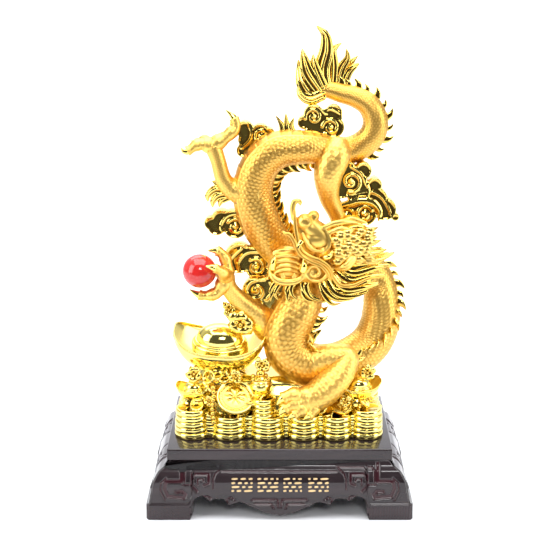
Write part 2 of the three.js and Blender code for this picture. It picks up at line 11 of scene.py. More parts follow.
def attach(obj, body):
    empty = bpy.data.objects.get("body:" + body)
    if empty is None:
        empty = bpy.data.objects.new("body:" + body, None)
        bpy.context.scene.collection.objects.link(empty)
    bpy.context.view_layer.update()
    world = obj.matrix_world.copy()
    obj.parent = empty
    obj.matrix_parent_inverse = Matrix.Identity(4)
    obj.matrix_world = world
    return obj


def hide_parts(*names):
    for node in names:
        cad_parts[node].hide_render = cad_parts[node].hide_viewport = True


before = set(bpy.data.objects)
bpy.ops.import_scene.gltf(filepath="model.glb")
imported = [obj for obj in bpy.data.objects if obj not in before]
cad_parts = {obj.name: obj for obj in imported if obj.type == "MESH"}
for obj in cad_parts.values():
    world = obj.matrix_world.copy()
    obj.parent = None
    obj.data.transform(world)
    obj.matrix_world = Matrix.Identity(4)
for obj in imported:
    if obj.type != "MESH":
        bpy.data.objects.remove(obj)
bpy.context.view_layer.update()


# Studio. A pale floor that curves up behind the object, five soft boxes, and a room that is dark behind the
# camera, which the polished gold mirrors as brown and black.
CAMERA_PLACE, CAMERA_DOWN, LENS, SENSOR = (-0.001, -0.899, 0.379), 14.5, 90.65, 36
SOFT_BOXES = {  # place, aim, size in metres and watts
    "light_top": ((0, -0.15, 1.2), (0, 0, 0.1), (1.3, 1.0), 17),
    "light_left": ((-1.0, -0.55, 0.55), (0, 0, 0.15), (0.6, 1.0), 9),
    "light_right": ((1.0, -0.4, 0.5), (0, 0, 0.15), (0.5, 1.0), 6.5),
    "light_front": ((0.15, -1.5, 1.0), (0, 0, 0.15), (0.5, 0.35), 8),
    "light_back": ((0, 1.0, 1.3), (0, 0.9, 0), (2.2, 1.0), 22),
}
ROOM_DARK, ROOM_PALE = 0.09, 0.86  # strength of the room's light behind the camera and beyond the object
FLOOR_FRONT, FLOOR_FLAT, FLOOR_BEND = -0.45, 1.15, 0.6  # where it starts, how far it lies flat, and its bend
FLOOR_WIDTH, FLOOR_LENGTH = 6, 3

camera = bpy.data.objects.new("camera", bpy.data.cameras.new("camera"))
camera.data.lens = LENS
camera.data.sensor_width = SENSOR
camera.location = CAMERA_PLACE
camera.rotation_euler = (math.radians(90 - CAMERA_DOWN), 0, 0)
bpy.context.collection.objects.link(camera)
bpy.context.scene.camera = camera
bpy.context.scene.view_settings.view_transform = "Standard"

for name, (place, aim, size, watts) in SOFT_BOXES.items():
    lamp = bpy.data.lights.new(name, "AREA")
    lamp.shape = "RECTANGLE"
    lamp.size, lamp.size_y = size
    lamp.energy = watts
    box = bpy.data.objects.new(name, lamp)
    box.location = place
    box.rotation_euler = (Vector(aim) - Vector(place)).to_track_quat("-Z", "Y").to_euler()
    bpy.context.collection.objects.link(box)


def feed(tree, node, inputs):
    """Gives a shader node its inputs, each a plain value or the socket that it comes from."""
    for socket, source in inputs.items():
        if isinstance(source, bpy.types.NodeSocket):
            tree.links.new(source, node.inputs[socket])
        else:
            node.inputs[socket].default_value = source


def added(tree, kind, inputs, **settings):
    """A new shader node with its settings and inputs."""
    node = tree.nodes.new("ShaderNode" + kind)
    for setting, value in settings.items():
        setattr(node, setting, value)
    feed(tree, node, inputs)
    return node


def new_material(name):
    material = bpy.data.materials.new(name)
    material.use_nodes = True
    return material, material.node_tree, material.node_tree.nodes["Principled BSDF"]


world = bpy.data.worlds.new("room")
world.use_nodes = True
bpy.context.scene.world = world
room = world.node_tree
toward = added(room, "TexCoord", {})
split = added(room, "SeparateXYZ", {"Vector": toward.outputs["Generated"]})
shade = added(room, "MapRange", {"Value": split.outputs["Y"], "From Min": -0.6, "From Max": 0.5,
                                 "To Min": ROOM_DARK, "To Max": ROOM_PALE})
feed(room, room.nodes["Background"], {"Strength": shade.outputs[0], "Color": (1, 1, 1, 1)})


def finished(form, name):
    """A mesh from a bmesh, which is freed."""
    mesh = bpy.data.meshes.new(name)
    form.to_mesh(mesh)
    form.free()
    return mesh


sweep = bmesh.new()
bmesh.ops.create_grid(sweep, x_segments=1, y_segments=48, size=1)
for vert in sweep.verts:
    run = (vert.co.y + 1) / 2 * FLOOR_LENGTH
    bend = min(max(run - FLOOR_FLAT, 0) / FLOOR_BEND, math.pi / 2)
    rise = max(run - FLOOR_FLAT - FLOOR_BEND * math.pi / 2, 0)
    back = FLOOR_FRONT + min(run, FLOOR_FLAT) + FLOOR_BEND * math.sin(bend)
    vert.co = (vert.co.x * FLOOR_WIDTH / 2, back, FLOOR_BEND * (1 - math.cos(bend)) + rise)
floor_mesh = finished(sweep, "floor")
floor_mesh.polygons.foreach_set("use_smooth", [True] * len(floor_mesh.polygons))
floor = bpy.data.objects.new("floor", floor_mesh)
bpy.context.collection.objects.link(floor)
paper, paper_tree, paper_shader = new_material("floor_paper")
feed(paper_tree, paper_shader, {"Base Color": (0.8, 0.81, 0.845, 1), "Roughness": 0.6})
floor_mesh.materials.append(paper)


# Body: the dragon's trunk is one long tapering tube of the gold-coated resin casting, covered with small
# rounded scales whose free edges point to the tail, with broad belly plates opposite the ridge of the back.
MM = 0.001
BODY = [  # x, y, z, radius in millimetres, and the turn of the back's ridge in degrees
    (26, 10, 271.5, 5, 0), (33, 10, 269.8, 5.8, 0), (41, 10, 267.4, 6.3, 0), (49.5, 9.5, 265.2, 6.9, 0),
    (58, 8.5, 260, 7.6, 0), (62.3, 8, 250.5, 8.2, 0), (60.4, 9, 240.6, 8.6, 0), (52.7, 11, 233, 8.9, 0),
    (43.7, 11, 229.8, 9.2, 0), (34, 6, 231.3, 9.6, 0), (24.5, 0, 233.4, 10.2, 0), (12.5, -4, 234.6, 11.1, 0),
    (-1, -4, 232.8, 12, 0), (-12, -3, 223.8, 12.6, 0), (-17.3, -1, 208, 13.1, 0), (-15, 0, 191.2, 13.4, 0),
    (-7.6, 2, 174.6, 13, 0), (2, 4, 162, 12.8, 0), (10.5, 2, 151.5, 13, 0), (15, -4, 142.5, 13.5, 5),
    (14, -9, 133.5, 14.3, 8), (9.5, -12, 124.5, 15, 12), (4.8, -13, 113, 15.4, 16), (6, -13, 101, 15.3, 24),
    (15, -12, 92, 14.9, 36), (30.4, -8, 88, 14.3, 50), (47.4, -2, 91.5, 14, 66), (61, 3, 100.5, 13.8, 86),
    (67.6, 5, 114.6, 13.2, 120), (68.1, 6, 129.7, 12, 160), (66, 8, 141.7, 11, 180),
    (59, 6, 153.5, 10.3, 185), (48, 0, 162, 10, 185), (37, -9, 168, 10, 180), (30, -13, 170, 9, 180),
]
LENGTHS = {"body_tail": (0.0, 0.27, 310), "body_arch": (0.268, 0.58, 330), "body_coil": (0.578, 1.0, 370)}
SCALES_ROUND, SCALE_GRID = 26, 5  # scales round the body, and grid columns for each
SCALE_STEP = 0.78  # distance between two rows of scales, against one scale's width
SCALE_RISE = 0.045  # a scale's height against the body's radius
BELLY_HALF = 0.68  # half the belly's width, in radians
BELLY_PLATE = 2.6  # length of a belly plate, in rows of scales
PLATE_LOW, PLATE_RISE = 0.15, 0.75  # height of a belly plate at its start, and what it gains to its free end
SCALE_LAP = 0.8  # how far the middle of a scale's free edge reaches over the next row, in rows
BELLY_EDGE, BELLY_EDGE_WIDE = 1.25, 0.075  # the ridge along the belly's edge: height, and width in radians
SPAN_STEPS, TRUNK_STEPS = 24, 3000
WELD = 0.00002


def route(stations, steps):
    """A smooth line through the stations, in even steps: its rows, its directions and its length."""
    knots = np.array(stations, float)
    knots = np.vstack([2 * knots[0] - knots[1], knots, 2 * knots[-1] - knots[-2]])
    t = np.linspace(0, 1, SPAN_STEPS, endpoint=False)[:, None]
    spans = [
        0.5 * (2 * b + (c - a) * t + (2 * a - 5 * b + 4 * c - d) * t**2 + (3 * b - a - 3 * c + d) * t**3)
        for a, b, c, d in zip(knots, knots[1:], knots[2:], knots[3:])
    ]
    fine = np.vstack(spans + [knots[-2:-1]])
    gone = np.concatenate([[0], np.cumsum(np.linalg.norm(np.diff(fine[:, :3], axis=0), axis=1))])
    even = np.linspace(0, gone[-1], steps)
    rows = np.stack([np.interp(even, gone, column) for column in fine.T], axis=1)
    along = np.gradient(rows[:, :3], axis=0)
    return rows, along / np.linalg.norm(along, axis=1, keepdims=True), gone[-1]


def sample(table, share):
    """The rows of an even table at some shares of its length, from 0 to 1."""
    even = np.linspace(0, 1, len(table))
    return np.stack([np.interp(share, even, column) for column in table.T], axis=1)


def unit(rows):
    return rows / np.maximum(np.linalg.norm(rows, axis=-1, keepdims=True), 1e-9)


def bent_grid(across, down, place):
    """A grid of faces, moved by place(u, v), which gives millimetres. Both run from 0 to 1."""
    grid = bmesh.new()
    bmesh.ops.create_grid(grid, x_segments=across, y_segments=down, size=1)
    mesh = finished(grid, "bent")
    at = np.empty(len(mesh.vertices) * 3)
    mesh.vertices.foreach_get("co", at)
    at = at.reshape(-1, 3)
    moved, relief = place((at[:, 0] + 1) / 2, (at[:, 1] + 1) / 2)
    mesh.vertices.foreach_set("co", (moved * MM).ravel())
    mesh.attributes.new("relief", "FLOAT", "POINT").data.foreach_set("value", relief)
    return mesh


def joined(meshes):
    whole = bmesh.new()
    for mesh in meshes:
        whole.from_mesh(mesh)
    return whole


def show(name, meshes, material, stands_for="dragon"):
    """Joins meshes to one smooth, closed piece that rides on the body and stands for a node of the solid."""
    closed = joined(meshes)
    bmesh.ops.remove_doubles(closed, verts=closed.verts, dist=WELD)
    bmesh.ops.holes_fill(closed, edges=closed.edges, sides=0)
    bmesh.ops.recalc_face_normals(closed, faces=closed.faces)
    mesh = finished(closed, name)
    mesh.polygons.foreach_set("use_smooth", [True] * len(mesh.polygons))
    mesh.materials.append(material)
    piece = bpy.data.objects.new(name, mesh)
    bpy.context.collection.objects.link(piece)
    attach(piece, "root")
    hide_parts(stands_for)


def gilding_group():
    """Gold coat: painted shade, a deeper colour in hollows, grooves and creases, an uneven gloss and a fine
    grain.
    """
    group = bpy.data.node_groups.new("gilding_and_painted_shade", "ShaderNodeTree")
    sockets = {
        "INPUT": {"Light": "Color", "Painted_Shade": "Color", "Gloss": "Float", "Shade_Amount": "Float", "Grain": "Float"},
        "OUTPUT": {"Color": "Color", "Roughness": "Float", "Normal": "Vector"},
    }
    for side, names in sockets.items():
        for name, kind in names.items():
            group.interface.new_socket(name=name, in_out=side, socket_type="NodeSocket" + kind)
    given, result = group.nodes.new("NodeGroupInput"), group.nodes.new("NodeGroupOutput")
    place = added(group, "TexCoord", {}).outputs["Object"]
    relief = added(group, "Attribute", {}, attribute_name="relief")
    bends = added(group, "NewGeometry", {})
    # Painted shade: the colour turns to the deep one in creases, where pointiness is low, and where "relief"
    # is low.
    crease_shade = added(group, "MapRange", {"Value": bends.outputs["Pointiness"], "From Min": 0.44,
                                       "From Max": 0.52})
    height = added(group, "Math", {0: relief.outputs["Fac"], 1: crease_shade.outputs[0]}, operation="MULTIPLY")
    sunk = added(group, "Math", {0: 1, 1: height.outputs[0]}, operation="SUBTRACT")
    depth = added(group, "Math", {0: sunk.outputs[0], 1: given.outputs["Shade_Amount"]}, operation="MULTIPLY",
                  use_clamp=True)
    colour = added(group, "Mix", {"Factor": depth.outputs[0], "A": given.outputs["Light"],
                                  "B": given.outputs["Painted_Shade"]}, data_type="RGBA")
    clouding = added(group, "TexNoise", {"Vector": place, "Scale": 60, "Detail": 3})
    uneven = added(group, "Math", {0: clouding.outputs["Fac"], 1: 0.1, 2: given.outputs["Gloss"]},
                   operation="MULTIPLY_ADD")
    grain = added(group, "TexNoise", {"Vector": place, "Scale": 2600, "Detail": 2})
    bump = added(group, "Bump", {"Height": grain.outputs["Fac"], "Strength": given.outputs["Grain"],
                                 "Distance": 0.0002})
    feed(group, result, {"Color": colour.outputs["Result"], "Roughness": uneven.outputs[0],
                         "Normal": bump.outputs[0]})
    return group


gilding_and_painted_shade = gilding_group()


# light is the gold's own colour; deep is the painted shade in hollows, grooves and creases, and hollow says
# how strongly it is painted.
def gold(name, light, deep, gloss, hollow, grain):
    material, tree, shader = new_material(name)
    coat = added(tree, "Group", {"Light": (*light, 1), "Painted_Shade": (*deep, 1), "Gloss": gloss, "Shade_Amount": hollow,
                                 "Grain": grain}, node_tree=gilding_and_painted_shade)
    feed(tree, shader, {"Metallic": 1, "Base Color": coat.outputs["Color"],
                        "Roughness": coat.outputs["Roughness"], "Normal": coat.outputs["Normal"]})
    return material


satin_gold = gold("satin_gold", (0.93, 0.61, 0.15), (0.5, 0.23, 0.03), 0.34, 1.0, 0.25)


def scale_height(row, column):
    """How far the skin stands up, from 0 to 1, for overlapping rounded scales in staggered rows."""
    height = np.zeros_like(row)
    for behind in range(3):
        start = np.floor(row) - behind
        across = (column - 0.5 * (start % 2)) % 1 - 0.5
        reach = 1.0 + SCALE_LAP * np.sqrt(np.clip(1 - (2 * across) ** 2, 0, 1))
        ahead = (row - start) / reach
        lift = (0.25 + 0.75 * ahead**1.2) * (1 - 0.45 * (2 * across) ** 2)
        height = np.maximum(height, np.where(ahead < 1, lift, 0))
    return height


def back_line(steps):
    """The body's middle line, with the direction of travel and the direction of the back's ridge."""
    rows, along, length = route(BODY, steps)
    turn = np.radians(rows[:, 4])
    left = unit(np.stack([-along[:, 2], 0 * turn, along[:, 0]], axis=1))
    back = left * np.cos(turn)[:, None] + np.array([0, -1, 0]) * np.sin(turn)[:, None]
    return rows, along, unit(back - along * np.sum(back * along, axis=1, keepdims=True)), length


def trunk(name, first, last, down):
    """One length of the body, between two shares of its route."""
    rows, along, back, length = back_line(TRUNK_STEPS)
    pace = SCALE_STEP * 2 * math.pi / SCALES_ROUND * rows[:, 3]
    count = np.cumsum(length / len(rows) / pace)
    table = np.column_stack([rows[:, :4], count, back, np.cross(along, back)])

    def place(u, v):
        here = sample(table, first + (last - first) * v)
        out, side, row = unit(here[:, 5:8]), unit(here[:, 8:]), count[-1] - here[:, 4]
        angle = 2 * math.pi * u
        height = scale_height(row, u * SCALES_ROUND)
        belly = np.abs(angle - math.pi)
        plate = (row / BELLY_PLATE) % 1
        height = np.where(belly < BELLY_HALF, PLATE_LOW + PLATE_RISE * plate**0.7, height)
        edge = np.exp(-(((belly - BELLY_HALF) / BELLY_EDGE_WIDE) ** 2))
        height = np.maximum(height, BELLY_EDGE * edge)
        reach = here[:, 3] * (1 + SCALE_RISE * (height - 0.6))
        ring = out * np.cos(angle)[:, None] + side * np.sin(angle)[:, None]
        # The scale height goes into "relief": the gold coat paints shade where it is low, at the roots of
        # scales and belly plates.
        return here[:, :3] + ring * reach[:, None], np.clip(height, 0, 1)

    show(name, [bent_grid(SCALES_ROUND * SCALE_GRID, down, place)], satin_gold)


for name, (first, last, down) in LENGTHS.items():
    trunk(name, first, last, down)


# Crest: one row of pointed flame locks along the dragon's back, large and small by turns. They are cast with
# the body, lean to the tail, and are polished bright where the body is satin.
CREST_START, CREST_END, CREST_LOCKS, CREST_STEPS = 0.03, 0.955, 80, 1200
CREST_LOCK = [  # share of the body's radius, rise above it, shift to the head, half width
    (0.72, 0, 1.2, 3.0), (1, 1.1, -0.4, 2.7), (1, 3.3, -2.2, 1.6), (1, 4.9, -5.4, 0.15),
]
STRAND_STEPS = 160

bright_gold = gold("bright_gold", (1.0, 0.79, 0.2), (0.42, 0.18, 0.015), 0.05, 1.0, 0.0)


def carried(along, start):
    """A side direction, carried along a line without a twist."""
    side = [start]
    for ahead in along:
        side.append(unit(side[-1] - ahead * np.dot(side[-1], ahead)))
    return np.array(side[1:])


def strand(stations, across, down, flat=1.0, grooves=0, cut=0.3, start=None, swell=None):
    """A closed tapering lock or limb along a line: flattened, grooved lengthwise, or swollen by a profile."""
    rows, along, _ = route(stations, STRAND_STEPS)
    wide = carried(along, np.cross([0, 1, 0], along[0]) if start is None else np.array(start, float))
    table = np.column_stack([rows[:, :4], wide, np.cross(along, wide)])

    def place(u, v):
        here = sample(table, v)
        angle = 2 * math.pi * u
        groove = (0.5 - 0.5 * np.cos(grooves * angle)) ** 2
        reach = here[:, 3] * (1 - cut * groove) * ((v > 0) & (v < 1))
        if swell:
            reach = reach * swell(v, angle)
        ring = here[:, 4:7] * np.cos(angle)[:, None] + here[:, 7:] * (flat * np.sin(angle))[:, None]
        # The relief is low in the grooves, and the gold coat paints shade there.
        return here[:, :3] + ring * reach[:, None], 1 - groove * 0.9

    return bent_grid(across, down, place)


rows, along, back, _ = back_line(CREST_STEPS)
crest = []
for i in range(CREST_LOCKS):
    k = int((CREST_START + (CREST_END - CREST_START) * i / (CREST_LOCKS - 1)) * (CREST_STEPS - 1))
    middle, ahead, out, radius = rows[k, :3], along[k], back[k], rows[k, 3]
    size = (0.6 + radius / 30) * (0.74 if i % 2 else 1.04)
    line = [(*(middle + out * (radius * share + rise * size) + ahead * shift * size), half * size)
            for share, rise, shift, half in CREST_LOCK]
    crest.append(strand(line, 12, 12, flat=0.5, grooves=2, cut=0.4, start=ahead))
show("crest", crest, bright_gold)


# Tail: nine flame-shaped tongues fan out from the end of the body, thick at the root and curled at the tip.
# They are cast with the body, grooved lengthwise and polished like the crest.
TAIL_FLAMES = [
    [(29.5, 8, 270, 4.5), (27.2, 8, 283, 5.2), (30, 8, 295.7, 4.6), (29.2, 8, 305.2, 2.9),
     (23.4, 8, 311.3, 0.4)],
    [(27, 6, 269, 4.6), (18.8, 5, 281.2, 4.8), (15.7, 5, 290.6, 2.8), (14.4, 5, 297, 0.3)],
    [(30, 8, 269, 5), (20.5, 6, 268, 5.4), (14.8, 6, 275, 4.4), (12.6, 7, 284, 2), (12, 7, 290, 0.3)],
    [(28, 6, 268, 4.4), (20, 4.5, 265, 4.2), (14, 5, 268, 3), (11.4, 6, 275, 0.3)],
    [(28, 5, 272, 3.6), (22.4, 5, 285, 3.2), (21.5, 5, 293.5, 0.3)],
    [(33.5, 10, 270, 3.8), (34.3, 11, 284, 4.2), (34.5, 12, 295, 2.6), (40.2, 12, 300, 0.3)],
    [(36.5, 11, 270, 3.6), (40, 12, 283, 3.4), (43.8, 12, 290, 2.2), (43, 12, 296.5, 0.3)],
    [(39.5, 11, 269, 3.2), (44.6, 12, 280.5, 2.8), (49, 12, 285, 1.8), (51.8, 12, 286.6, 0.3)],
    [(40, 13, 272, 2.8), (45, 14, 285, 2.6), (50.8, 14, 291.6, 0.3)],
]
tail = [strand(line, 48, 40, flat=0.62, grooves=8, cut=0.3) for line in TAIL_FLAMES]
show("tail_flames", tail, bright_gold)


# Legs: four scaled limbs, cast with the body and satin like it, and polished tufts of hair at two elbows and
# on the back. The last value of a station is the limb's radius.
LEGS = {
    "upper_left": [(-14, 0, 206, 14), (-24, -1, 206, 11), (-32, -3, 208.5, 7), (-36.5, -5, 214.5, 5.4),
                   (-39.7, -6, 226.6, 5), (-43, -6, 236, 5.6)],
    "upper_right": [(38, -1, 240, 6), (36, -4, 230, 10), (31.5, -5, 217, 9.4), (32.4, -2, 202, 6.8),
                    (38, 2, 188, 5.4), (41, 4, 174, 5)],
    "pearl_arm": [(-1, -2, 108, 11), (-8, -6, 116, 10.4), (-16, -11, 125, 8.4), (-26, -15, 135, 6.4),
                  (-33, -19, 145, 5.4), (-34.5, -21, 153, 5.6)],
    "front": [(22, -14, 92, 11.5), (34, -18, 97, 9.5), (45, -21, 98.5, 7), (41, -25, 90, 9),
              (32, -29, 80.5, 10.4), (22, -32, 73.5, 9.6), (16, -33.5, 71, 7)],
}
LIMB_SCALES, LIMB_SCALE_RISE, LIMB_STEPS, LIMB_RINGS = 18, 0.055, 300, 150
TUFTS = [
    [(-34, -2, 207, 2.6), (-40, -3, 210.5, 2.4), (-44, -3, 212.4, 0.3)],
    [(-34, -3, 206, 3), (-41.6, -4, 207, 3), (-46.4, -4, 203, 2.2), (-46.6, -4, 198.6, 0.3)],
    [(-34, -3, 204, 3), (-40, -4, 203, 3), (-43.2, -4, 199, 2.2), (-43.6, -4, 194.8, 0.3)],
    [(-32, -2, 202, 2.6), (-37.6, -3, 199.6, 2.6), (-39.6, -3, 195, 0.3)],
    [(2, -2, 240, 3), (1.5, -2, 248, 2), (-2.5, -2, 255, 0.3)],
    [(6, -2, 241, 3), (4.5, -2, 249, 2.2), (4, -2, 256.5, 0.3)],
    [(9, -2, 241, 3), (7.5, -2, 248, 2), (9.2, -2, 253.5, 0.3)],
    [(45, -20, 98, 3.4), (51, -21, 99.5, 2.4), (54.5, -21, 104, 0.3)],
    [(45, -20, 97, 3.4), (51.5, -21, 96, 2.4), (56.5, -21, 98.5, 0.3)],
]


def scaled_limb(stations):
    rows, _, length = route(stations, LIMB_STEPS)
    pace = SCALE_STEP * 2 * math.pi / LIMB_SCALES * rows[:, 3]
    count = np.cumsum(length / LIMB_STEPS / pace)

    def swell(v, angle):
        row = count[-1] - np.interp(v, np.linspace(0, 1, LIMB_STEPS), count)
        return 1 + LIMB_SCALE_RISE * (scale_height(row, angle / (2 * math.pi) * LIMB_SCALES) - 0.6)

    return strand(stations, LIMB_SCALES * 4, LIMB_RINGS, swell=swell)


for leg, line in LEGS.items():
    show("leg_" + leg, [scaled_limb(line)], satin_gold)
show("tufts", [strand(line, 30, 24, flat=0.6, grooves=5) for line in TUFTS], bright_gold)


# Paws: three are modelled, cast with their legs, with four toes each. A toe is satin and has swollen joints.
# The curved claw in its end is smooth and polished.
TOES = {
    "upper_left": [
        [(-43, -6, 236, 5.6), (-52, -8, 237, 4), (-60, -10, 232.8, 2.6), (-64.2, -10, 236.2, 0.4)],
        [(-43, -6, 236, 5.6), (-33, -6, 242.6, 4.2), (-28, -6, 248.5, 3.4), (-30, -6, 255, 2.2),
         (-35.8, -6, 260, 0.4)],
        [(-43, -6, 236, 5), (-48.5, 1, 238.4, 3.4), (-54.5, 5, 236, 2.4), (-58, 4, 238.4, 0.4)],
        [(-43, -6, 236, 5), (-36, 2, 240.4, 3.4), (-31.4, 6, 245, 2.4), (-32.4, 6, 250.6, 0.4)],
    ],
    "pearl_arm": [
        [(-34.5, -21, 153, 5.6), (-34.5, -21, 163, 4), (-39.5, -22, 170, 3), (-47.5, -23, 170.5, 0.5)],
        [(-34.5, -21, 153, 5.6), (-36, -31, 158, 3.6), (-41, -35, 162, 2.6), (-48, -34.5, 163.5, 0.5)],
        [(-34.5, -21, 151, 5.6), (-41, -23, 142.5, 4.2), (-51, -23, 141, 3), (-59.5, -23, 145.5, 0.6)],
        [(-34.5, -21, 153, 5.6), (-39, -11, 153, 3.8), (-46, -8, 157, 2.8), (-52.5, -9, 162, 0.5)],
    ],
    "front": [
        [(19, -32, 74, 8), (9, -36, 77, 5.2), (2.5, -38, 75.5, 4), (-2.6, -39, 70.5, 0.8)],
        [(19, -33, 72, 8), (9, -37, 71, 5), (3, -39, 68.5, 4), (-1, -40, 63.5, 0.8)],
        [(20, -33, 71, 8), (13, -38, 67, 4.6), (8.5, -39.6, 64.5, 3.6), (5, -40.4, 61.8, 0.8)],
        [(24, -32, 73, 7), (22, -37, 67.5, 4.2), (19, -39, 64, 3.2), (15, -40, 61.8, 0.8)],
    ],
}
JOINT_SWELL, WRINKLE_SWELL = 0.09, 0.015


def knuckles(v, angle):
    return 1 + JOINT_SWELL * np.cos(v * 5 * math.pi + math.pi) + WRINKLE_SWELL * np.cos(v * 60 * math.pi)


toes, claws = [], []
for lines in TOES.values():
    for line in lines:
        full, _, _ = route(line, 61)  # three quarters are the toe, and the claw starts inside its end
        toe, claw = full[:47:5].copy(), full[38::4].copy()
        toe[:, 3] = np.maximum(toe[:, 3], claw[0, 3])
        claw[:, 3] = claw[0, 3] * 0.86 * (1 - np.linspace(0, 1, len(claw)) ** 1.5) + 0.1
        toes.append(strand(toe, 24, 40, swell=knuckles))
        claws.append(strand(claw, 18, 20, flat=0.8))
show("toes", toes, satin_gold)
show("claws", claws, bright_gold)


# Mane and beard: pointed locks, cast in one with the neck and polished. Each stream of hair is three or four
# locks side by side, of uneven length.
MANE = [
    [(37, -13, 175, 5), (48, -13, 180, 4.4), (56, -11, 180.6, 3), (62.5, -8, 180.8, 0.6)],
    [(38, -14, 173, 5), (50, -14, 174.5, 4.6), (60, -11, 172.4, 3), (66.5, -8, 173.6, 0.6)],
    [(38, -15, 168, 5), (50, -16, 167.5, 4.8), (62, -12, 166.4, 3.2), (70.5, -8, 167.6, 0.6)],
    [(38, -15, 164, 5), (50, -16, 161.5, 4.8), (64, -12, 162, 3.4), (76, -7, 165.4, 0.6)],
    [(37, -16, 160, 4.6), (48, -18, 155, 4.6), (62, -15, 157.5, 3.4), (74, -9, 157.5, 0.6)],
    [(35, -17, 157, 4.6), (46, -19, 149.5, 4.4), (58, -17, 151.5, 3.4), (70, -12, 151.5, 0.6)],
    [(33, -17, 155, 4.4), (42, -20, 145.5, 4.4), (54, -19, 146, 3.2), (66, -14, 146.5, 0.6)],
    [(29, -16, 153, 4.4), (37, -20, 142, 4.2), (48, -20, 140.5, 3), (59, -18, 142.5, 0.6)],
    [(26, -16, 154, 4.4), (30, -20, 144, 4), (37, -21, 137.6, 2.8), (48, -20, 136.6, 0.6)],
    [(20, -16, 154, 4.4), (17, -20, 147, 3.8), (20, -21, 140, 2.6), (28, -21, 136.4, 0.6)],
    [(12, -18, 153, 4), (8, -20, 147, 3.4), (8, -21, 141, 2.4), (13, -22, 136, 0.6)],
    [(3, -18, 152, 3.6), (-1, -19, 146, 3), (-3, -20, 141, 2), (-0.6, -21, 136.4, 0.5)],
]
chance = random.Random(5)
mane = []
for line in MANE:
    mane.append(strand([(x, y + 2, z, r * 0.8) for x, y, z, r in line], 24, 18, flat=0.6, grooves=6))
    for k in (-1, 0, 1):
        sway = chance.uniform(-1, 1)
        last = len(line) - 1
        lock = []
        for i, (x, y, z, r) in enumerate(line):
            share = i / last
            lift = k * r * 0.55 + (k * 1.2 + sway) * share * math.sin(share * 2.4)
            lock.append((x - share * abs(k) * chance.uniform(2, 7), y - r * (0.62 - 0.2 * abs(k)), z + lift,
                         max(r * 0.46, 0.15) * (1 - 0.9 * (i == last))))
        mane.append(strand(lock, 14, 24, flat=0.8, grooves=2, cut=0.35))
show("mane", mane, bright_gold)


# Head: cast with the neck. The face looks up to the left with the mouth wide open, smoother and a little
# glossier than the scaled skin. Its forms are merged into one skin, as a sculptor presses clay on clay.
HEAD_VOXEL, HOLLOW_ROUNDS, HOLLOW_DEPTH, SCROLL_STEPS = 0.58, 10, 0.35, 24
MOUTH_PLACE, MOUTH_SIZE = (4.6, -17.5, 160), (12.4, 8.6, 12.4)
PALATE_RIDGES, ARC_STEPS = 5, 16


def ball(place, size, fine=4):
    """An egg form, given in millimetres, to be merged into a larger one."""
    form = bmesh.new()
    bmesh.ops.create_icosphere(form, subdivisions=fine, radius=MM)
    bmesh.ops.scale(form, vec=size, verts=form.verts)
    bmesh.ops.translate(form, vec=Vector(place) * MM, verts=form.verts)
    return finished(form, "ball")


def mark_hollows_for_shade(mesh):
    """Writes how open each point of a surface lies, from 0 in a hollow to 1, into "relief", which the gold
    coat turns into painted shade.
    """
    at, normal = np.empty(len(mesh.vertices) * 3), np.empty(len(mesh.vertices) * 3)
    mesh.vertices.foreach_get("co", at)
    mesh.vertices.foreach_get("normal", normal)
    at, normal = at.reshape(-1, 3) / MM, normal.reshape(-1, 3)
    ends = np.empty(len(mesh.edges) * 2, np.int32)
    mesh.edges.foreach_get("vertices", ends)
    near, far = ends.reshape(-1, 2).T
    near, far = np.concatenate([near, far]), np.concatenate([far, near])
    count = np.maximum(np.bincount(near, minlength=len(at)), 1)
    soft = at
    for _ in range(HOLLOW_ROUNDS):
        soft = np.stack([np.bincount(near, soft[far, k], len(at)) / count for k in range(3)], axis=1)
    sunk = np.sum((soft - at) * normal, axis=1)
    relief = mesh.attributes.get("relief") or mesh.attributes.new("relief", "FLOAT", "POINT")
    relief.data.foreach_set("value", np.clip(1 - sunk / HOLLOW_DEPTH, 0, 1))


def merged(meshes, voxel, softening):
    """One skin round several overlapping closed forms."""
    holder = bpy.data.objects.new("holder", finished(joined(meshes), "merged"))
    bpy.context.collection.objects.link(holder)
    skin = holder.modifiers.new("skin", "REMESH")
    skin.mode = "VOXEL"
    skin.voxel_size = voxel * MM
    soft = holder.modifiers.new("soft", "SMOOTH")
    soft.iterations = softening
    one = bpy.data.meshes.new_from_object(holder.evaluated_get(bpy.context.evaluated_depsgraph_get()))
    bpy.data.objects.remove(holder)
    mark_hollows_for_shade(one)
    return one


def turned(profile, around, place=(0, 0, 0), size=(1, 1, 1), fine=1):
    """A closed form of revolution from a profile of (radius, height) that starts and ends on its axis."""
    radii, heights = np.array(profile, float).T
    spans = len(profile) - 1

    def shape(u, v):
        at = lambda values: np.interp(v * spans, np.arange(spans + 1), values)
        radius, turn = at(radii), 2 * math.pi * u
        ring = np.stack([radius * np.cos(turn), radius * np.sin(turn), at(heights)], axis=1)
        return ring * np.array(size) + np.array(place), np.ones_like(u)

    return bent_grid(around, spans * fine, shape)


def scroll(centre, radius, start, hand, thick, turns=1.3, end=0.14):
    """A tube rolled up in the plane that faces the viewer."""
    line = []
    for i in range(SCROLL_STEPS + 1):
        share = i / SCROLL_STEPS
        angle = math.radians(start) + hand * share * turns * 2 * math.pi
        reach = (radius - thick) * (1 - (1 - end) * share)
        line.append((centre[0] + reach * math.cos(angle), centre[1], centre[2] + reach * math.sin(angle),
                     thick * (1 - 0.35 * share) * (0.3 if i == SCROLL_STEPS else 1)))
    return strand(line, 16, 90, start=(math.cos(math.radians(start)), 0, math.sin(math.radians(start))))


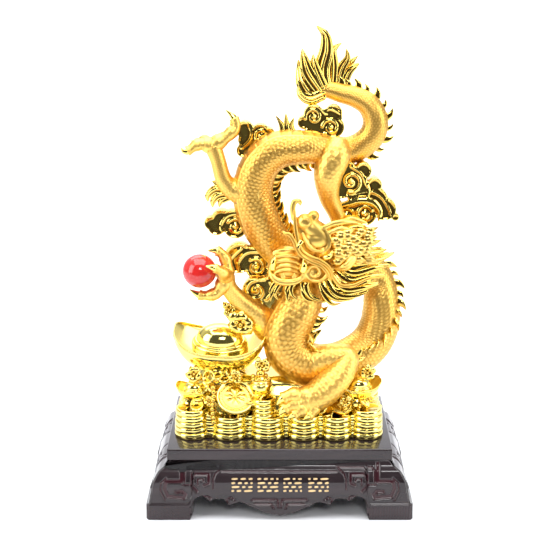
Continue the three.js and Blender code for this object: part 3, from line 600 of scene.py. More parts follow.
face_gold = gold("face_gold", (0.97, 0.66, 0.16), (0.55, 0.25, 0.03), 0.3, 1.0, 0.1)
head = [  # skull and snout, jaw hinge, mouth, cheek, muzzle, brow, chin
    ball((33, -12, 167), (12, 11, 11.5)),
    strand([(32, -13, 169, 10.4), (27, -18, 177.5, 9), (21, -21, 185, 6.8), (16.6, -21, 190, 5)], 48, 40),
    strand([(30, -14, 158, 9), (22, -20, 157, 8.6), (13, -21, 156, 6.6)], 48, 30),
    ball(MOUTH_PLACE, MOUTH_SIZE),
    ball((23.4, -20.4, 158), (9.4, 7.8, 9.6)),
    strand([(28, -16, 173, 6), (20, -19, 178, 5.6), (14, -21, 184, 4.4), (11, -22, 187.5, 2.4)], 40, 30),
    ball((23, -22, 178), (8.6, 6.2, 7.6)),
    ball((18, -20, 171.6), (8.4, 7.4, 7.4)),
    ball((27.6, -20.6, 170.4), (7.4, 6.6, 6.6)),
    ball((36, -18, 176), (7.4, 6.4, 7.4)),
    ball((4, -20, 151), (9, 6.4, 4.4)),
]
for x, y, z, size in ((16.2, -23.4, 190, 5.2), (21.8, -21.6, 193, 3.8)):  # the two lobes of the nose
    head += [ball((x, y, z), (size, size * 0.85, size)),
             scroll((x + 0.4, y - size * 0.72, z), size * 0.86, 120, -1, size * 0.2, turns=0.9)]
head += [ball((39.6, -23.4, 176.4), (3.6, 2.6, 3)), scroll((39.6, -25.4, 176.4), 1.7, 0, 1, 0.45, turns=1)]
FOLDS = [  # curl on the nose, two brows, two eyelids, folds of cheek and muzzle, lower lip, ear, horns
    [(9.4, -22, 190, 1.8), (8.4, -22.6, 197, 1.9), (9.4, -22.6, 202.4, 1.9), (13.2, -22.6, 202.8, 1.4),
     (13, -22.6, 199.4, 0.6)],
    [(25, -25, 183, 1), (28.4, -25, 186, 1.5), (33, -24, 188.2, 1.8), (42, -21, 189.2, 1.7),
     (51, -17, 187.6, 0.6)],
    [(30, -25, 181.6, 1), (35, -24.4, 184, 1.7), (42, -22, 184.8, 1.6), (50, -18, 182.4, 0.6)],
    [(33.4, -25, 175.6, 0.7), (37, -25.8, 179.4, 1.2), (42, -24.6, 179.8, 1.2), (46, -22, 176.6, 0.5)],
    [(34, -25, 174.6, 0.6), (37.6, -25.4, 172.8, 1.1), (42.4, -24, 173, 1), (46, -22, 175.6, 0.5)],
    [(28.6, -25, 186, 0.9), (31.6, -25.4, 180, 1.5), (31.4, -26, 174, 1.5), (27, -27, 169.6, 0.9)],
    [(14.2, -25, 183, 0.8), (17.4, -27, 177, 1.4), (21, -28.2, 172.6, 1.3), (27, -28, 171, 0.8)],
    [(14.4, -24.6, 185.4, 0.7), (20, -26.4, 184.8, 1.3), (25.4, -26.4, 181.6, 1.2), (27.8, -26.6, 176, 0.6)],
    [(-6.8, -21, 159, 0.8), (-5.4, -24.2, 155, 1.8), (-0.6, -26.2, 151.4, 2.2), (7, -27, 150.8, 2.3),
     (13, -26.8, 152.6, 1.9), (16.8, -26, 157, 0.9)],
    [(36, -20, 158.6, 2.4), (41.6, -23.6, 161, 4), (46.6, -23, 165.4, 3.4), (50, -20, 169.2, 0.5)],
    [(28, -14, 178, 4), (36, -15, 185.4, 3.2), (46, -13, 186.4, 2.6), (57, -11, 183.6, 0.4)],
    [(34, -4, 176, 3.6), (46, -2, 186, 3), (60, 1, 183, 0.4)],
]
head += [strand(line, 24, 40, flat=0.7) for line in FOLDS]
inner_ear = [(38, -26.4, 160, 0.6), (42.4, -27.4, 162.2, 1.6), (47.6, -25, 166.4, 0.4)]
head.append(strand(inner_ear, 12, 20, flat=0.5))
(mouth_x, mouth_y, mouth_z), (mouth_half, mouth_deep, _) = MOUTH_PLACE, MOUTH_SIZE
for k in range(PALATE_RIDGES):  # arched ridges on the roof of the mouth, which lie on its round surface
    arc = []
    for step in range(ARC_STEPS + 1):
        turn = math.pi * step / ARC_STEPS
        x, z = mouth_x + (8.8 - 0.3 * k) * math.cos(turn), 167.6 - 3.1 * k + 3.4 * math.sin(turn)
        swell = max(1 - ((x - mouth_x) / mouth_half) ** 2 - ((z - mouth_z) / mouth_half) ** 2, 0.04)
        y = mouth_y - mouth_deep * math.sqrt(swell) - 0.3
        arc.append((x, y, z, 0.85 if 0 < step < ARC_STEPS else 0.3))
    head.append(strand(arc, 12, 50))
head += [scroll((x, -29.2, 155), 2.7, 90, hand, 0.8, turns=0.9) for x, hand in ((2.8, 1), (8.8, -1))]
head += [scroll((23.4, -28, 158.4), 9.6, 150, -1, 1.3, turns=0.98, end=0.72),
         scroll((22.6, -28.6, 157.6), 6, 170, -1, 1.1, turns=1.1, end=0.3)]
show("head", [merged(head, HEAD_VOXEL, 2)], face_gold)

# Whiskers, fangs and the ruff of curled tufts on the cheek are cast with the head, and the ruff is duller
# than the mane. The last value of a station is the radius.
WHISKERS = [
    [(9.6, -24, 198, 0.64), (9.8, -25.4, 190, 1.2), (11.2, -26.8, 180, 1.36), (14, -28.4, 172.4, 1.44),
     (19.5, -30, 168.2, 1.44), (26, -29.8, 165.4, 1.36), (31.6, -28.6, 161, 1.28), (34.6, -27.4, 154, 1.2),
     (39.5, -26.4, 148.4, 1.12), (48, -24.6, 148.2, 1.04), (58, -20.6, 151.4, 0.88),
     (68.5, -15.6, 151.4, 0.24)],
    [(1.8, -25, 184.2, 0.32), (3.8, -26, 182.4, 1.12), (6.7, -27, 181.8, 1.2), (9.6, -28, 177.2, 1.2),
     (13, -29.8, 170.2, 1.2), (20, -31, 165.2, 1.2), (27, -30.4, 161.8, 1.12), (31.4, -29.4, 155.8, 0.96),
     (33.6, -28, 150, 0.24)],
]
FANGS = [
    [(28.6, -27, 167, 2), (32, -28.4, 168.4, 1.7), (34, -28, 172.2, 0.2)],
    [(14.4, -26, 178, 2), (11.8, -28.4, 174.4, 1.5), (12.6, -29, 169.6, 0.2)],
    [(-4.4, -24, 158.6, 2.4), (-4.2, -26.4, 163.6, 1.9), (-2.2, -26.4, 168.8, 0.2)],
    [(14.8, -27.6, 158, 2.5), (15.8, -29.4, 162.4, 2.1), (15.2, -29.2, 167.2, 0.2)],
]
show("whiskers", [strand(line, 16, 110, grooves=2, cut=0.2) for line in WHISKERS], face_gold)
show("fangs", [strand(line, 16, 18) for line in FANGS], bright_gold)
RUFF_ROWS, RUFF_LOCKS = 11, 4
RUFF_X, RUFF_Z, RUFF_LONG, RUFF_HIGH = 33.6, 164, 19, 18  # its lower front corner, and its size
ruff = []
for i in range(RUFF_ROWS * RUFF_LOCKS):
    along = (i % RUFF_LOCKS) / (RUFF_LOCKS - 1) + chance.uniform(-0.12, 0.12)
    across = (i // RUFF_LOCKS) / (RUFF_ROWS - 1)
    x, z = RUFF_X + RUFF_LONG * along, RUFF_Z + RUFF_HIGH * across + 2 * along * (across - 0.5)
    long, rise = chance.uniform(8, 13), chance.uniform(-2.6, 2.2) + 3 * (across - 0.6)
    y = -26 + 6.4 * along + 2.4 * abs(across - 0.4)
    ruff.append(strand([(x, y + 2, z, 1.5), (x + long * 0.45, y - 1.2, z + rise * 0.1, 2.1),
                        (x + long, y + 2.2, z + rise, 0.15)], 14, 12, flat=0.8, grooves=2, cut=0.3))
ruff_gold = gold("ruff_gold", (1.0, 0.76, 0.24), (0.6, 0.33, 0.05), 0.24, 1.0, 0.0)
show("ruff", ruff, ruff_gold)


# Clouds: flat plates of cloud behind and beside the dragon, cast with it and polished like mirrors. Each is a
# cluster of round lobes with a thin raised rim, and thin ridges that roll up into scrolls on its face.
CLOUD_VOXEL, RIM, RIM_STEPS = 0.56, 0.66, 48

# A cluster is y, thickness, lobes (x, z, radius), scrolls (x, z, radius, start, hand) and loose ridges, whose
# points are (x, z) or, in a broad band, (x, z, half width).
CLOUDS = {
    "top": [
        (4, 8, [(24, 250, 9), (22, 255, 6.6), (35, 256, 5.6), (35, 247, 7), (16, 250, 4.5)],
         [(22, 254, 6.4, 200, -1), (33, 247, 6.4, 180, -1)], [[(27, 258), (33, 259), (39, 256), (40, 252)]]),
        (5, 8, [(-22.4, 245.2, 5.8), (-21, 238.5, 6), (-12.4, 243, 6.2), (-17, 238, 6), (-23.5, 231.5, 4.6),
                (-7.5, 242, 4.8)],
         [(-12.4, 241, 4.8, 60, 1)], [[(-25, 233), (-19.8, 238), (-18.2, 243), (-20, 249)]]),
    ],
    "left": [
        (4, 8, [(-31, 184, 8.5), (-38, 185.6, 7.2), (-45, 183.6, 4.6), (-41.4, 181.4, 6), (-29, 181.5, 8.2),
                (-20, 187, 7)],
         [(-29, 181.5, 6.6, 150, -1)], [[(-37.4, 176.5), (-38.4, 183), (-33.6, 189), (-24, 190.4)]]),
        (0, 9, [(-20, 160, 9), (-26.5, 161, 10.2), (-15, 155, 8), (-8, 163, 9)],
         [(-15.5, 155.5, 6.8, 130, -1)], [[(-26, 151), (-27, 159), (-22, 165), (-13, 166)],
                                          [(-30, 153), (-32, 161), (-25, 168.5)]]),
        (-5, 9, [(-10, 140, 9), (-16, 140, 8.8), (-2, 145, 8), (-4, 132, 8)],
         [(-15.5, 140.3, 8.2, 90, 1)], [[(-6, 147), (-4, 141), (-9, 134)]]),
    ],
    "right": [
        (4, 9, [(48, 213, 9), (46, 211.5, 9), (54.5, 218.5, 5.6), (42, 218, 8), (51, 205, 8), (40, 208, 8)],
         [(46.5, 211.5, 8, 250, 1)], [[(46, 222), (53, 217), (56.5, 210)]]),
        (5, 10, [(55, 196, 11), (62, 199, 9), (69, 193, 7.6), (76, 187.6, 2.6), (56, 190, 8), (42, 189, 8),
                 (44, 184, 9), (62, 209, 5)],
         [(55.5, 190, 6.6, 20, 1), (43.5, 189, 6, 30, 1)],
         [[(34, 193.4, 1.4), (44, 196.4, 2.3), (53, 199, 2.8), (61, 197.4, 2.4), (65.6, 191.6, 1.6),
           (65, 184.6, 0.8)],
          [(36, 202.4), (47, 203), (58, 205), (66, 202), (71, 195), (73.4, 188)]]),
    ],
}


def plate(x, y, z, radius, thick):
    """A flat disc with rounded edges that faces the viewer."""
    half, edge = thick / 2, min(1.6, radius * 0.3)
    corner = [(radius - edge, half), (radius - 0.3 * edge, half - 0.3 * edge), (radius, half - edge)]
    profile = [(0, -half)] + [(r, -h) for r, h in corner] + corner[::-1] + [(0, half)]
    disc = turned(profile, 48)
    disc.transform(Matrix.Translation(Vector((x, y, z)) * MM) @ Matrix.Rotation(math.pi / 2, 4, "X"))
    return disc


def rims(lobes, front):
    """Raised lines along the outer edge of a cluster of lobes."""
    lines = []
    for x, z, radius in lobes:
        others = [lobe for lobe in lobes if lobe[:2] != (x, z)]
        run = []
        for k in range(2 * RIM_STEPS + 1):
            turn = 2 * math.pi * k / RIM_STEPS
            px, pz = x + (radius - RIM) * math.cos(turn), z + (radius - RIM) * math.sin(turn)
            inside = any(math.hypot(px - ox, pz - oz) < r - RIM * 1.4 for ox, oz, r in others)
            if not inside and len(run) <= RIM_STEPS:
                run.append((px, front, pz, RIM))
            elif run:
                lines += [run] * (len(run) > 3)
                run = []
        lines += [run] * (len(run) > 3)
    return [strand(line, 10, 4 * len(line)) for line in lines]


for name, clusters in CLOUDS.items():
    forms = []
    for y, thick, lobes, scrolls, ridges in clusters:
        front, rear = y - thick / 2, y + thick / 2
        forms += [plate(x, y, z, radius, thick) for x, z, radius in lobes]
        forms += rims(lobes, front) + rims(lobes, rear)
        for x, z, radius, start, hand in scrolls:
            forms.append(scroll((x, front - 0.2, z), radius, start, hand, RIM * 1.15, turns=1.35, end=0.2))
            forms.append(ball((x, front, z), (1.5, 1.3, 1.5)))
            forms.append(scroll((x, rear, z), radius, start, hand, RIM, turns=1, end=0.3))
        for line in ridges:
            ridge = [(x, front - 0.1, z, *(half or [RIM * 0.95])) for x, z, *half in line]
            forms.append(strand(ridge, 20, 60, flat=0.6 if line[0][2:] else 1))
    show("clouds_" + name, [merged(forms, CLOUD_VOXEL, 3)], bright_gold)


# Bed: stacks of thick coins stand along all four sides of a low heap of treasure. All of it is one casting
# with the dragon, polished, and it rests on the plinth's slab.
BED_FLOOR = 46.3
COIN_THICK = 3.85
STACKS = [  # x, y and radius, first the six along the front
    (-57.5, -26, 12), (-32.7, -27, 12.6), (-7.7, -27.5, 12.4), (15.9, -28, 11.9), (37.6, -28, 11.2),
    (57.6, -27, 10.9), (-58, -4, 10.8), (-58, 17, 10.8), (58, -5, 10.8), (58, 16, 10.8), (-41, 31, 11.8),
    (-14, 32, 11.8), (13, 32, 11.8), (40, 31, 11.8),
]
STACKS += [((a[0] + b[0]) / 2, -22.6, 11) for a, b in zip(STACKS[:5], STACKS[1:6])]  # behind the gaps
treasure_gold = gold("treasure_gold", (1.0, 0.83, 0.25), (0.62, 0.38, 0.05), 0.08, 0.8, 0.0)


def placed(mesh, at, lean=0.0, yaw=0.0):
    mesh.transform(Matrix.Translation(Vector(at) * MM) @ Matrix.Rotation(math.radians(yaw), 4, "Z")
                   @ Matrix.Rotation(math.radians(lean), 4, "X"))
    return mesh


def coin(radius, thick, around=32):
    """A coin with rounded edges and a raised rim, upright on its underside."""
    rim = min(1.6, radius * 0.2)
    profile = [(0, 0), (radius - 0.45, 0), (radius - 0.08, 0.4), (radius, thick * 0.5),
               (radius - 0.08, thick - 0.4), (radius - 0.45, thick), (radius - rim, thick),
               (radius - rim - 0.4, thick - 0.45), (0, thick - 0.45)]
    return turned(profile, around)


coins = []
for k, (x, y, radius) in enumerate(STACKS):
    for level in range(5 if k in (0, 5) else 4):  # one more coin at the two front corners
        wide = radius * (1 - 0.02 * level)
        at = (x + chance.uniform(-0.35, 0.35), y + chance.uniform(-0.3, 0.3), BED_FLOOR + level * COIN_THICK)
        coins.append(placed(coin(wide, COIN_THICK - 0.04), at))
show("coin_stacks", coins, treasure_gold)

# The heap under the dragon: two rounded mounds, [middle, half widths and height, share left at the top].
HEAP_VOXEL = 1.8
MOUNDS = [((1, 0, 55), (66, 28, 28), 0.7), ((-40, -8, 60), (25, 21, 29), 0.55)]
base = [turned([(0, 0), (61, 0), (61, 13), (59, 14.4), (0, 14.4)], 4, (1, 1, BED_FLOOR), (1, 0.5, 1), fine=2)]
for middle, (half, deep, high), top in MOUNDS:
    outline = [(0, -4), (1, -4), (1, 0), (top + 0.12, high * 0.62), (top, high * 0.86), (top * 0.8, high),
               (0, high)]
    base.append(turned(outline, 60, middle, (half, deep, 1), fine=3))
show("heap", [merged(base, HEAP_VOXEL, 3)], treasure_gold)

LOOSE, EDGE_COINS, BEADS = 170, 64, 9
loose = []
for i in range(LOOSE):
    (x, y, z), (half, deep, high), top = MOUNDS[0] if i % 4 else MOUNDS[1]
    turn, rise = math.radians(chance.uniform(0, 360)), chance.uniform(0.05, 0.95)
    share = 1 - (1 - top) * rise
    at = (x + half * share * math.cos(turn), y + deep * share * math.sin(turn), z + high * rise)
    if i % 3:
        piece = coin(chance.uniform(3.6, 5.6), 1.5, 14)
        lean = chance.uniform(25, 65)
        loose.append(placed(piece, at, lean, math.degrees(turn) + 90 + chance.uniform(-40, 40)))
    else:
        size = chance.uniform(1.5, 2.6)
        loose.append(ball(at, (size, size, size), 2))
for i in range(EDGE_COINS):  # coins that lie along the front and the two sides, behind the stacks
    edge, along = i % 4, chance.uniform(-1, 1)
    if edge < 2:
        x, y, yaw = 58 * along, -27 + chance.uniform(0, 6), 0
    else:
        x, y, yaw = (55, 27 * along, 90) if edge == 2 else (-55, 27 * along, -90)
    piece = coin(chance.uniform(4.4, 6.4), 1.6, 16)
    z, lean = chance.uniform(60.5, 66), chance.uniform(20, 55)
    loose.append(placed(piece, (x, y, z), lean, yaw + chance.uniform(-30, 30)))
for k in range(BEADS):  # a string of beads that hangs over the front of the heap
    loose.append(ball((-43.5 + 0.5 * math.sin(k), -30 - 0.75 * k, 80 - 2.7 * k), (1.75, 1.75, 1.75), 3))
show("loose_treasure", loose, treasure_gold)


def medal(radius, thick):
    """A large coin, its face struck with a ring of dots and a plain rosette of eight petals.

    From v = 0 to 0.3 lies its back, to 0.34 its edge and beyond that its face.
    """
    def shape(u, v):
        angle = 2 * math.pi * u
        share = np.clip((v - 0.34) / 0.66, 0, 1)
        reach = np.where(v < 0.3, v / 0.3, np.where(v < 0.34, 1, 1 - share)) * radius
        petals = np.abs(np.cos(4 * angle)) ** 0.7 * np.sin(np.clip(reach / (0.62 * radius), 0, 1) * math.pi)
        dots = np.exp(-(((reach / radius - 0.74) / 0.05) ** 2)) * (0.5 + 0.5 * np.cos(28 * angle))
        rim = np.clip((reach / radius - 0.86) / 0.03, 0, 1)
        lift = np.where(v < 0.34, 0, 0.5 * petals + 0.5 * dots + 0.8 * rim - 0.4)
        side = np.clip((v - 0.3) / 0.04, 0, 1)
        edge = radius - 0.35 * (4 * (side - 0.5) ** 2)
        reach = np.minimum(reach, np.where(v >= 0.3, edge, radius - 0.35))
        # Its relief follows the struck pattern, and the gold coat paints shade where it is low.
        return (np.stack([reach * np.cos(angle), reach * np.sin(angle), thick * (side - 0.5) + lift], axis=1),
                np.clip(0.3 + lift, 0, 1))

    return bent_grid(80, 50, shape)


MEDALS = [(12.4, 3, (-29, -30, 73), 40, 8), (9.5, 3, (-19, -27, 74), 34, -22), (8, 3, (41, -24, 66), 34, 12)]
POT_PLACE = (-12.4, -27.5, 74)
POT = [  # radius and height, from the foot over the belly to the lid
    (0, 0), (3.6, 0), (4.4, 0.8), (4.2, 1.8), (6.2, 3.4), (7.2, 6), (7, 8.4), (6.2, 9.4), (6.6, 10),
    (6.2, 10.8), (4.8, 11.2), (4.6, 12), (3, 13.6), (0, 14.2),
]
riches = [placed(medal(radius, thick), at, lean, yaw) for radius, thick, at, lean, yaw in MEDALS]
riches.append(turned(POT, 48, POT_PLACE, fine=3))
for k in range(5):  # a short stack of coins under the pot
    riches.append(placed(coin(7.4 + 0.12 * k, 3.05, 36), (-10.5 + 0.2 * (k % 2), -31, 58 + 3.2 * k)))
for k in range(7):  # beads that heap over the pot's rim
    bead = (POT_PLACE[0] + 5.2 * math.cos(k * 0.9), POT_PLACE[1] + 4.6 * math.sin(k * 0.9), 85.4 + (k % 2))
    riches.append(ball(bead, (1.7, 1.7, 1.7), 3))
riches.append(ball((-12.4, -28, 89), (3, 3, 3), 3))
show("medals_and_pot", riches, treasure_gold)


# Ingots: three boat-shaped ingots, one large and two small, lean towards the viewer. Each has broad upturned
# ends, a thin lip along its edge and a stepped dome in the middle. Sprigs of leaves fill the gaps.
INGOTS = [  # place, half length, turn, tilt and lean in degrees, and fineness
    ((-57, -20, 76), 11.5, -14, 0, 14, 1), ((53, -18, 77.5), 14.5, 18, 0, 14, 1),
    ((-39.5, -10, 105), 31, -4, 2, 17, 2),
]
SPRIGS = [  # x, y, z, reach and number of leaves
    (-25.5, -19, 120.5, 12, 9), (-56, -24, 88.5, 8, 6), (-11.5, -25, 94.5, 7, 7), (58, -20, 88, 7.6, 6),
    (43, -29, 71, 5.4, 6), (-28.5, -24, 86, 6.5, 5), (-46, -30, 72, 5, 5), (-33, -16, 130, 7, 5),
]


BOAT_BROAD, BOAT_ROUND, BOAT_HORN = 0.56, 0.67, 0.3  # width, power of the oval plan, and rise of the ends


def boat(half, fine):
    """The hull with its turned-up ends, the dome and the lip of an ingot, level and centred."""
    broad = half * BOAT_BROAD

    def plan(turn):
        c, s = np.cos(turn), np.sin(turn)
        return np.sign(c) * np.abs(c) ** BOAT_ROUND, np.sign(s) * np.abs(s) ** BOAT_ROUND

    def horn(x):
        return BOAT_HORN * half * np.abs(x) ** 3

    def hull(u, v):
        up = math.pi * (v - 0.5)
        x, y = [part * np.cos(up) for part in plan(2 * math.pi * u)]
        floor = -0.6 * half + 0.06 * half * (x**2 + y**2)
        under = np.maximum(floor, np.sin(up) * half * 0.68)
        rise = np.where(up < 0, under, -0.07 * half * np.sin(up)) + horn(x)
        return np.stack([x * half, y * broad, rise], axis=1), np.ones_like(u)

    lip = []
    for k in range(65):
        x, y = plan(2 * math.pi * k / 64)
        lip.append((x * half * 0.985, y * broad * 0.985, float(horn(x)) + 0.1, 0.016 * half + 0.18))
    stepped = [(0, -0.3), (0.98, -0.2), (1, 0), (0.98, 0.03), (0.92, 0.04), (0.91, 0.08), (0.885, 0.1),
               (0.85, 0.105)]
    for k in range(8):
        turn = k * math.pi / 16
        stepped.append((0.83 * math.cos(turn), 0.1 + 0.33 * math.sin(turn)))
    dome = turned(stepped + [(0, 0.43)], 40 * fine, size=(half * 0.6, broad * 0.8, half), fine=2)
    return [bent_grid(44 * fine, 26 * fine, hull), dome,
            strand(lip, 8 + 2 * fine, 100 * fine, start=(1, 0, 0))]


for k, (at, half, yaw, tilt, lean, fine) in enumerate(INGOTS):
    pose = Matrix.Translation(Vector(at) * MM)
    for angle, axis in ((yaw, "Z"), (tilt, "Y"), (lean, "X")):
        pose = pose @ Matrix.Rotation(math.radians(angle), 4, axis)
    parts = boat(half, fine)
    for part in parts:
        part.transform(pose)
    show(f"ingot_{k + 1}", parts, treasure_gold)

sprigs = []
for x, y, z, reach, leaves in SPRIGS:
    for k in range(leaves):
        turn = 2 * math.pi * k / leaves + chance.uniform(-0.3, 0.3)
        c, s, bow = math.cos(turn), math.sin(turn), chance.uniform(-0.35, 0.35)
        long = reach * chance.uniform(0.62, 1)
        middle = (x + long * 0.55 * (c - bow * s), y - 2.6, z + long * 0.55 * (s + bow * c), reach * 0.36)
        leaf = [(x, y + 1, z, reach * 0.2), middle, (x + long * c, y - 0.2, z + long * s, 0.25)]
        sprigs.append(strand(leaf, 12, 10, flat=0.45, grooves=2, cut=0.2))
    for dx, dz in ((0, 0), (-0.22, 0.14), (0.16, 0.2)):  # three berries in its middle
        sprigs.append(ball((x + dx * reach, y - 3, z + dz * reach), (reach * 0.14,) * 3, 2))
show("leaf_sprigs", sprigs, treasure_gold)


# Ball: a coral-red ball of glossy resin. It is cast as a piece of its own and sits between the claws of one
# front paw.
PEARL_PLACE, PEARL_RADIUS = (-51.7, -22, 156.9), 11


def coral():
    """Opaque resin under a clear gloss, clouded between two reds."""
    material, tree, shader = new_material("red_resin")
    place = added(tree, "TexCoord", {}).outputs["Object"]
    cloud = added(tree, "TexNoise", {"Vector": place, "Scale": 90, "Detail": 4})
    tint = added(tree, "Mix", {"Factor": cloud.outputs["Fac"], "A": (0.5, 0.01, 0.01, 1),
                               "B": (0.64, 0.03, 0.025, 1)}, data_type="RGBA")
    feed(tree, shader, {"Base Color": tint.outputs["Result"], "Roughness": 0.13, "Coat Weight": 0.4,
                        "Coat Roughness": 0.05})
    return material


show("red_ball", [ball(PEARL_PLACE, (PEARL_RADIUS,) * 3)], coral(), "pearl")


# Plinth: one dark brown-black resin casting with a deep gloss. A slab stands on a carved frieze whose four
# faces flare to scrolled corner legs, each on a square foot block. Behind the faces the plinth is hollow.
SLAB = (146, 105, 46, 8)  # across, front to back, top, thickness
FEET = (171, 118)
FOOT = (29, 10.5)  # width and height of a foot block
HALVES = (FEET[0] / 2, FEET[1] / 2)
SET_BACK = (HALVES[0] - SLAB[0] / 2, HALVES[1] - SLAB[1] / 2)  # of the slab from the feet's outline
FACE_TOP, FACE_THICK, FACE_SKIN = 38.4, 6.5, 0.9  # the skin is the depth that the carving may take away
REED_PITCH, REED_DEPTH = 1.75, 0.45  # upright reeds on the foot blocks, their depth as a share of the skin
LEG = [  # height, and share of the flare
    (-1, 1.0), (0, 1.0), (FOOT[1], 1.0), (FOOT[1] + 0.3, 0.87), (15, 0.8), (20, 0.73), (25, 0.66), (29, 0.5),
    (32, 0.34), (34, 0.12), (35.2, 0), (38.6, -0.16),
]
WAVE = [  # distance from the foot block, and height of the apron's lower edge
    (-0.1, 0), (0.1, 11.5), (1, 13.5), (3.5, 15.4), (6, 16), (8.8, 14.8), (11, 12.6), (12.5, 13.2),
    (14, 14.1), (17, 14.4), (20, 14.2), (22, 12.2), (23.5, 10.4), (26, 10.8), (31, 12.4), (39, 9),
    (47, 5.2), (56.5, 3.2),
]
PLAIN = [(-0.1, 0), (0.1, 11.5), (1, 13.8), (4, 14.4), (18, 14.8), (31, 13), (60, 12.4)]
LANES = [  # width of a sunken lane of the carving, then its line, from the middle outwards and up
    (2.5, [(63.4, 36.4), (63.3, 25.8), (73.3, 25.8), (74.3, 20.8), (72.1, 15.8), (61.8, 14.8), (60.8, 17.1),
           (63, 19.2), (66.9, 18.8)]),
    (1.1, [(73.3, 27.8), (76.6, 24.4), (77, 19.5), (74, 13.5)]),
    (1.1, [(62.3, 23.6), (57.8, 23.6), (54.9, 21.8), (53.3, 18.5)]),
    (1.2, [(37.2, 34.3), (59.8, 34.1), (61.3, 32.2), (61.3, 25.1)]),
    (2.1, [(53.3, 19.5), (56.6, 23.5), (56.4, 30.3), (45.8, 30.3), (45.8, 24.6), (48.7, 23.2)]),
    (1.4, [(52.9, 23.4), (52.9, 27.2), (49.4, 27.2), (49.1, 25.8)]),
    (1.2, [(37.8, 33.8), (41.6, 30.4), (42.9, 26.7), (43, 20.8)]),
]
FRETS = [  # the same for the pendant fret in the middle of the front
    (1.2, [(53.4, 13.1), (51.1, 15.3), (46.9, 15.9), (44.3, 14.6), (45.9, 12.9)]),
    (1.2, [(34.3, 11.8), (33.6, 14.1), (31.4, 15.1), (29.4, 13.8)]), (1.9, [(17.2, 13.6), (3.4, 13.6)]),
    (1.3, [(3.4, 13.9), (1.2, 13.8), (0.8, 8.8)]), (1.2, [(15.9, 10.8), (5.2, 10.8), (3.8, 8.2)]),
    (0.9, [(0, 31.9), (37.1, 31.9)]),
]


def lane(x, z, path, width):
    """How deep, from 0 to 1, a point lies in a rounded lane along a line."""
    near = np.full_like(x, 99.0)
    for (x0, z0), (x1, z1) in zip(path, path[1:]):
        run = np.array([x1 - x0, z1 - z0], float)
        share = np.clip(((x - x0) * run[0] + (z - z0) * run[1]) / (run @ run), 0, 1)
        near = np.minimum(near, np.hypot(x - x0 - share * run[0], z - z0 - share * run[1]))
    return np.clip((width / 2 - near) / 0.5 + 0.5, 0, 1)


def face(long, fretted):
    """One thick face of the frieze, which looks to the front: carved outside, underside and plain inside.

    From v = 0 to 0.84 lies the outside, at 0.85 the face turns under, and beyond that comes the inside.
    """
    half, deep = HALVES if long else HALVES[::-1]
    ends_back, front_back = SET_BACK if long else SET_BACK[::-1]
    slab_half, slab_deep = half - ends_back, deep - front_back
    inner = half - FOOT[0]
    share = inner / (HALVES[0] - FOOT[0])
    heights, flares = np.array(LEG).T
    wave = np.array(WAVE if fretted else PLAIN)

    def place(u, v):
        s = 2 * u - 1
        s = np.sign(s) * np.interp(np.abs(s), [0, 0.3, 0.94, 1], [0, 0.42, 0.95, 1])
        z = np.full_like(s, 20.0)
        outer = np.clip(v / 0.84, 0, 1)
        for _ in range(3):
            wide = slab_half + np.interp(z, heights, flares) * (half - slab_half)
            x = s * wide
            low = np.interp((inner - np.abs(x)) / share, wave[:, 0], wave[:, 1], left=0.0)
            z = low + (1 - outer) * (FACE_TOP - low)
        out = slab_deep + np.interp(z, heights, flares) * (deep - slab_deep)
        sunk = np.zeros_like(x)
        for width, path in LANES:
            sunk = np.maximum(sunk, lane(np.abs(x) - (half - HALVES[0]), z, path, width))
        if fretted:
            for width, path in FRETS:
                sunk = np.maximum(sunk, lane(np.abs(x), z, path, width))
        on_foot = np.clip(np.minimum(9.4 - z, z - 0.8) / 0.4, 0, 1) * (np.abs(x) > inner)
        reeds = 0.5 - 0.5 * np.cos(2 * math.pi * x / REED_PITCH)
        sunk = np.maximum(sunk, REED_DEPTH * on_foot * reeds)
        rounding = np.clip((half - np.abs(x)) / 1.4, 0, 1) ** 0.5
        inside = np.clip((v - 0.86) / 0.12, 0, 1)
        y = np.where(v > 0.85, slab_deep - FACE_THICK, out + FACE_SKIN * (1 - sunk) * rounding)
        x = np.where(v > 0.85, np.clip(x, -(slab_half + 1), slab_half + 1) * 0.97, x)
        z = np.where(v > 0.85, low + inside * (FACE_TOP - low), z)
        return np.stack([x, -y, z], axis=1), sunk

    across = (300 if fretted else 200) if long else 150
    return bent_grid(across, 84 if fretted else 60, place)


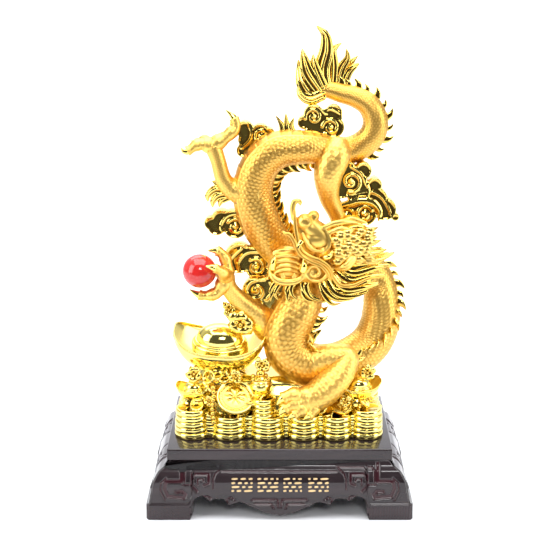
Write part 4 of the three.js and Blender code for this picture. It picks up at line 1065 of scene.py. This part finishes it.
def dark_resin():
    """Glossy cast resin, nearly black with a warm brown depth, a little clouded, lighter brown on its sharp
    edges, and painted shade in its carved lanes, darker and redder the deeper they are cut.
    """
    material, tree, shader = new_material("dark_resin")
    place = added(tree, "TexCoord", {}).outputs["Object"]
    streak = added(tree, "Mapping", {"Vector": place, "Scale": (20, 60, 160)})
    grain = added(tree, "TexNoise", {"Vector": streak.outputs[0], "Scale": 1, "Detail": 5}).outputs["Fac"]
    colour = added(tree, "ValToRGB", {0: grain})
    deep, pale = colour.color_ramp.elements
    deep.color, deep.position = (0.014, 0.01, 0.0115, 1), 0.3
    pale.color, pale.position = (0.032, 0.021, 0.024, 1), 0.75
    # Lighter brown on sharp convex edges, found by pointiness.
    bends = added(tree, "NewGeometry", {})
    edge_mask = added(tree, "MapRange", {"Value": bends.outputs["Pointiness"], "From Min": 0.53,
                                      "From Max": 0.62, "To Max": 0.35})
    edge_lightened = added(tree, "Mix", {"Factor": edge_mask.outputs[0], "A": colour.outputs[0],
                               "B": (0.06, 0.025, 0.022, 1)}, data_type="RGBA")
    cut = added(tree, "Attribute", {}, attribute_name="relief")  # here: how deep the carving is cut
    # Painted shade: the carved lanes turn darker and redder the deeper they are cut.
    cut_painted_shade = added(tree, "Mix", {"Factor": cut.outputs["Fac"], "A": edge_lightened.outputs["Result"],
                                 "B": (0.034, 0.007, 0.011, 1)}, data_type="RGBA")
    gloss = added(tree, "MapRange", {"Value": grain, "To Min": 0.12, "To Max": 0.24})
    feed(tree, shader, {"Base Color": cut_painted_shade.outputs["Result"], "Roughness": gloss.outputs[0],
                        "Specular IOR Level": 0.4, "Coat Weight": 0.3, "Coat Roughness": 0.06})
    return material


def slab(across, deep, low, high, edge):
    """A block with rounded edges, centred on the plinth, between two heights."""
    block = bmesh.new()
    bmesh.ops.create_cube(block, size=MM)
    bmesh.ops.scale(block, vec=(across, deep, high - low), verts=block.verts)
    bmesh.ops.translate(block, vec=(0, 0, (low + high) / 2 * MM), verts=block.verts)
    bmesh.ops.bevel(block, geom=block.edges, offset=edge * MM, segments=4, profile=0.5, affect="EDGES",
                    material=-1)
    return finished(block, "slab")


resin = dark_resin()
for name, turn in {"front": 0, "back": 180, "left": 270, "right": 90}.items():
    side = placed(face(name in ("front", "back"), name == "front"), (0, 0, 0), yaw=turn)
    show("frieze_" + name, [side], resin, "plinth")
blocks = []
for sx in (-1, 1):
    for sy in (-1, 1):
        block = slab(FOOT[0] - 1.5, FOOT[0] - 1.5, 0, FOOT[1], 0.8)
        blocks.append(placed(block, (sx * (FEET[0] - FOOT[0]) / 2, sy * (FEET[1] - FOOT[0]) / 2, 0)))
show("foot_blocks", blocks, resin, "plinth")
TOPS = [  # the slab, its neck and the ledge below: how much narrower than the slab, bottom, top and edge
    (0, SLAB[2] - SLAB[3], SLAB[2], 1.1), (6, 35, 40, 0.5), (1.6, 34.6, 36.6, 0.9),
]
tops = [slab(SLAB[0] - less, SLAB[1] - less, low, high, edge) for less, low, high, edge in TOPS]
show("slab", tops, resin, "plinth")


# Printed line: gold print on the frieze's panel, in four groups of short strokes that stand for no letters.
# The print is thin, and its strokes stand just proud of the resin.
print_gold = gold("print_gold", (0.8, 0.58, 0.3), (0.5, 0.3, 0.12), 0.3, 0.3, 0.0)
GROUPS = [(-24.2, 15.4), (-7.5, 15.2), (8.4, 13.6), (25.1, 15)]  # middle and width of each group
ROW_TOP, ROW_STEP = 27.3, 2.6
ROWS = [(0, 0.38, 0.72, 1), (0, 0.27, 0.55, 0.8, 1), (0, 0.45, 0.7, 1), (0, 0.22, 0.52, 1)]
strokes = []
for k, (middle, wide) in enumerate(GROUPS):
    for row in range(4):
        z = ROW_TOP - ROW_STEP * row
        y = -(SLAB[1] / 2 + np.interp(z, *np.array(LEG).T) * SET_BACK[1] + FACE_SKIN)
        ends = ROWS[(row + k) % 4]
        for left, right in zip(ends, ends[1:]):
            x0, x1 = middle + (left - 0.5) * wide + 0.75, middle + (right - 0.5) * wide - 0.75
            stroke = [(x0, y, z - 0.15, 0.62), ((x0 + x1) / 2, y, z, 0.72), (x1, y, z + 0.15, 0.55)]
            strokes.append(strand(stroke, 10, 8, flat=0.3))
show("printed_strokes", strokes, print_gold, "plinth")
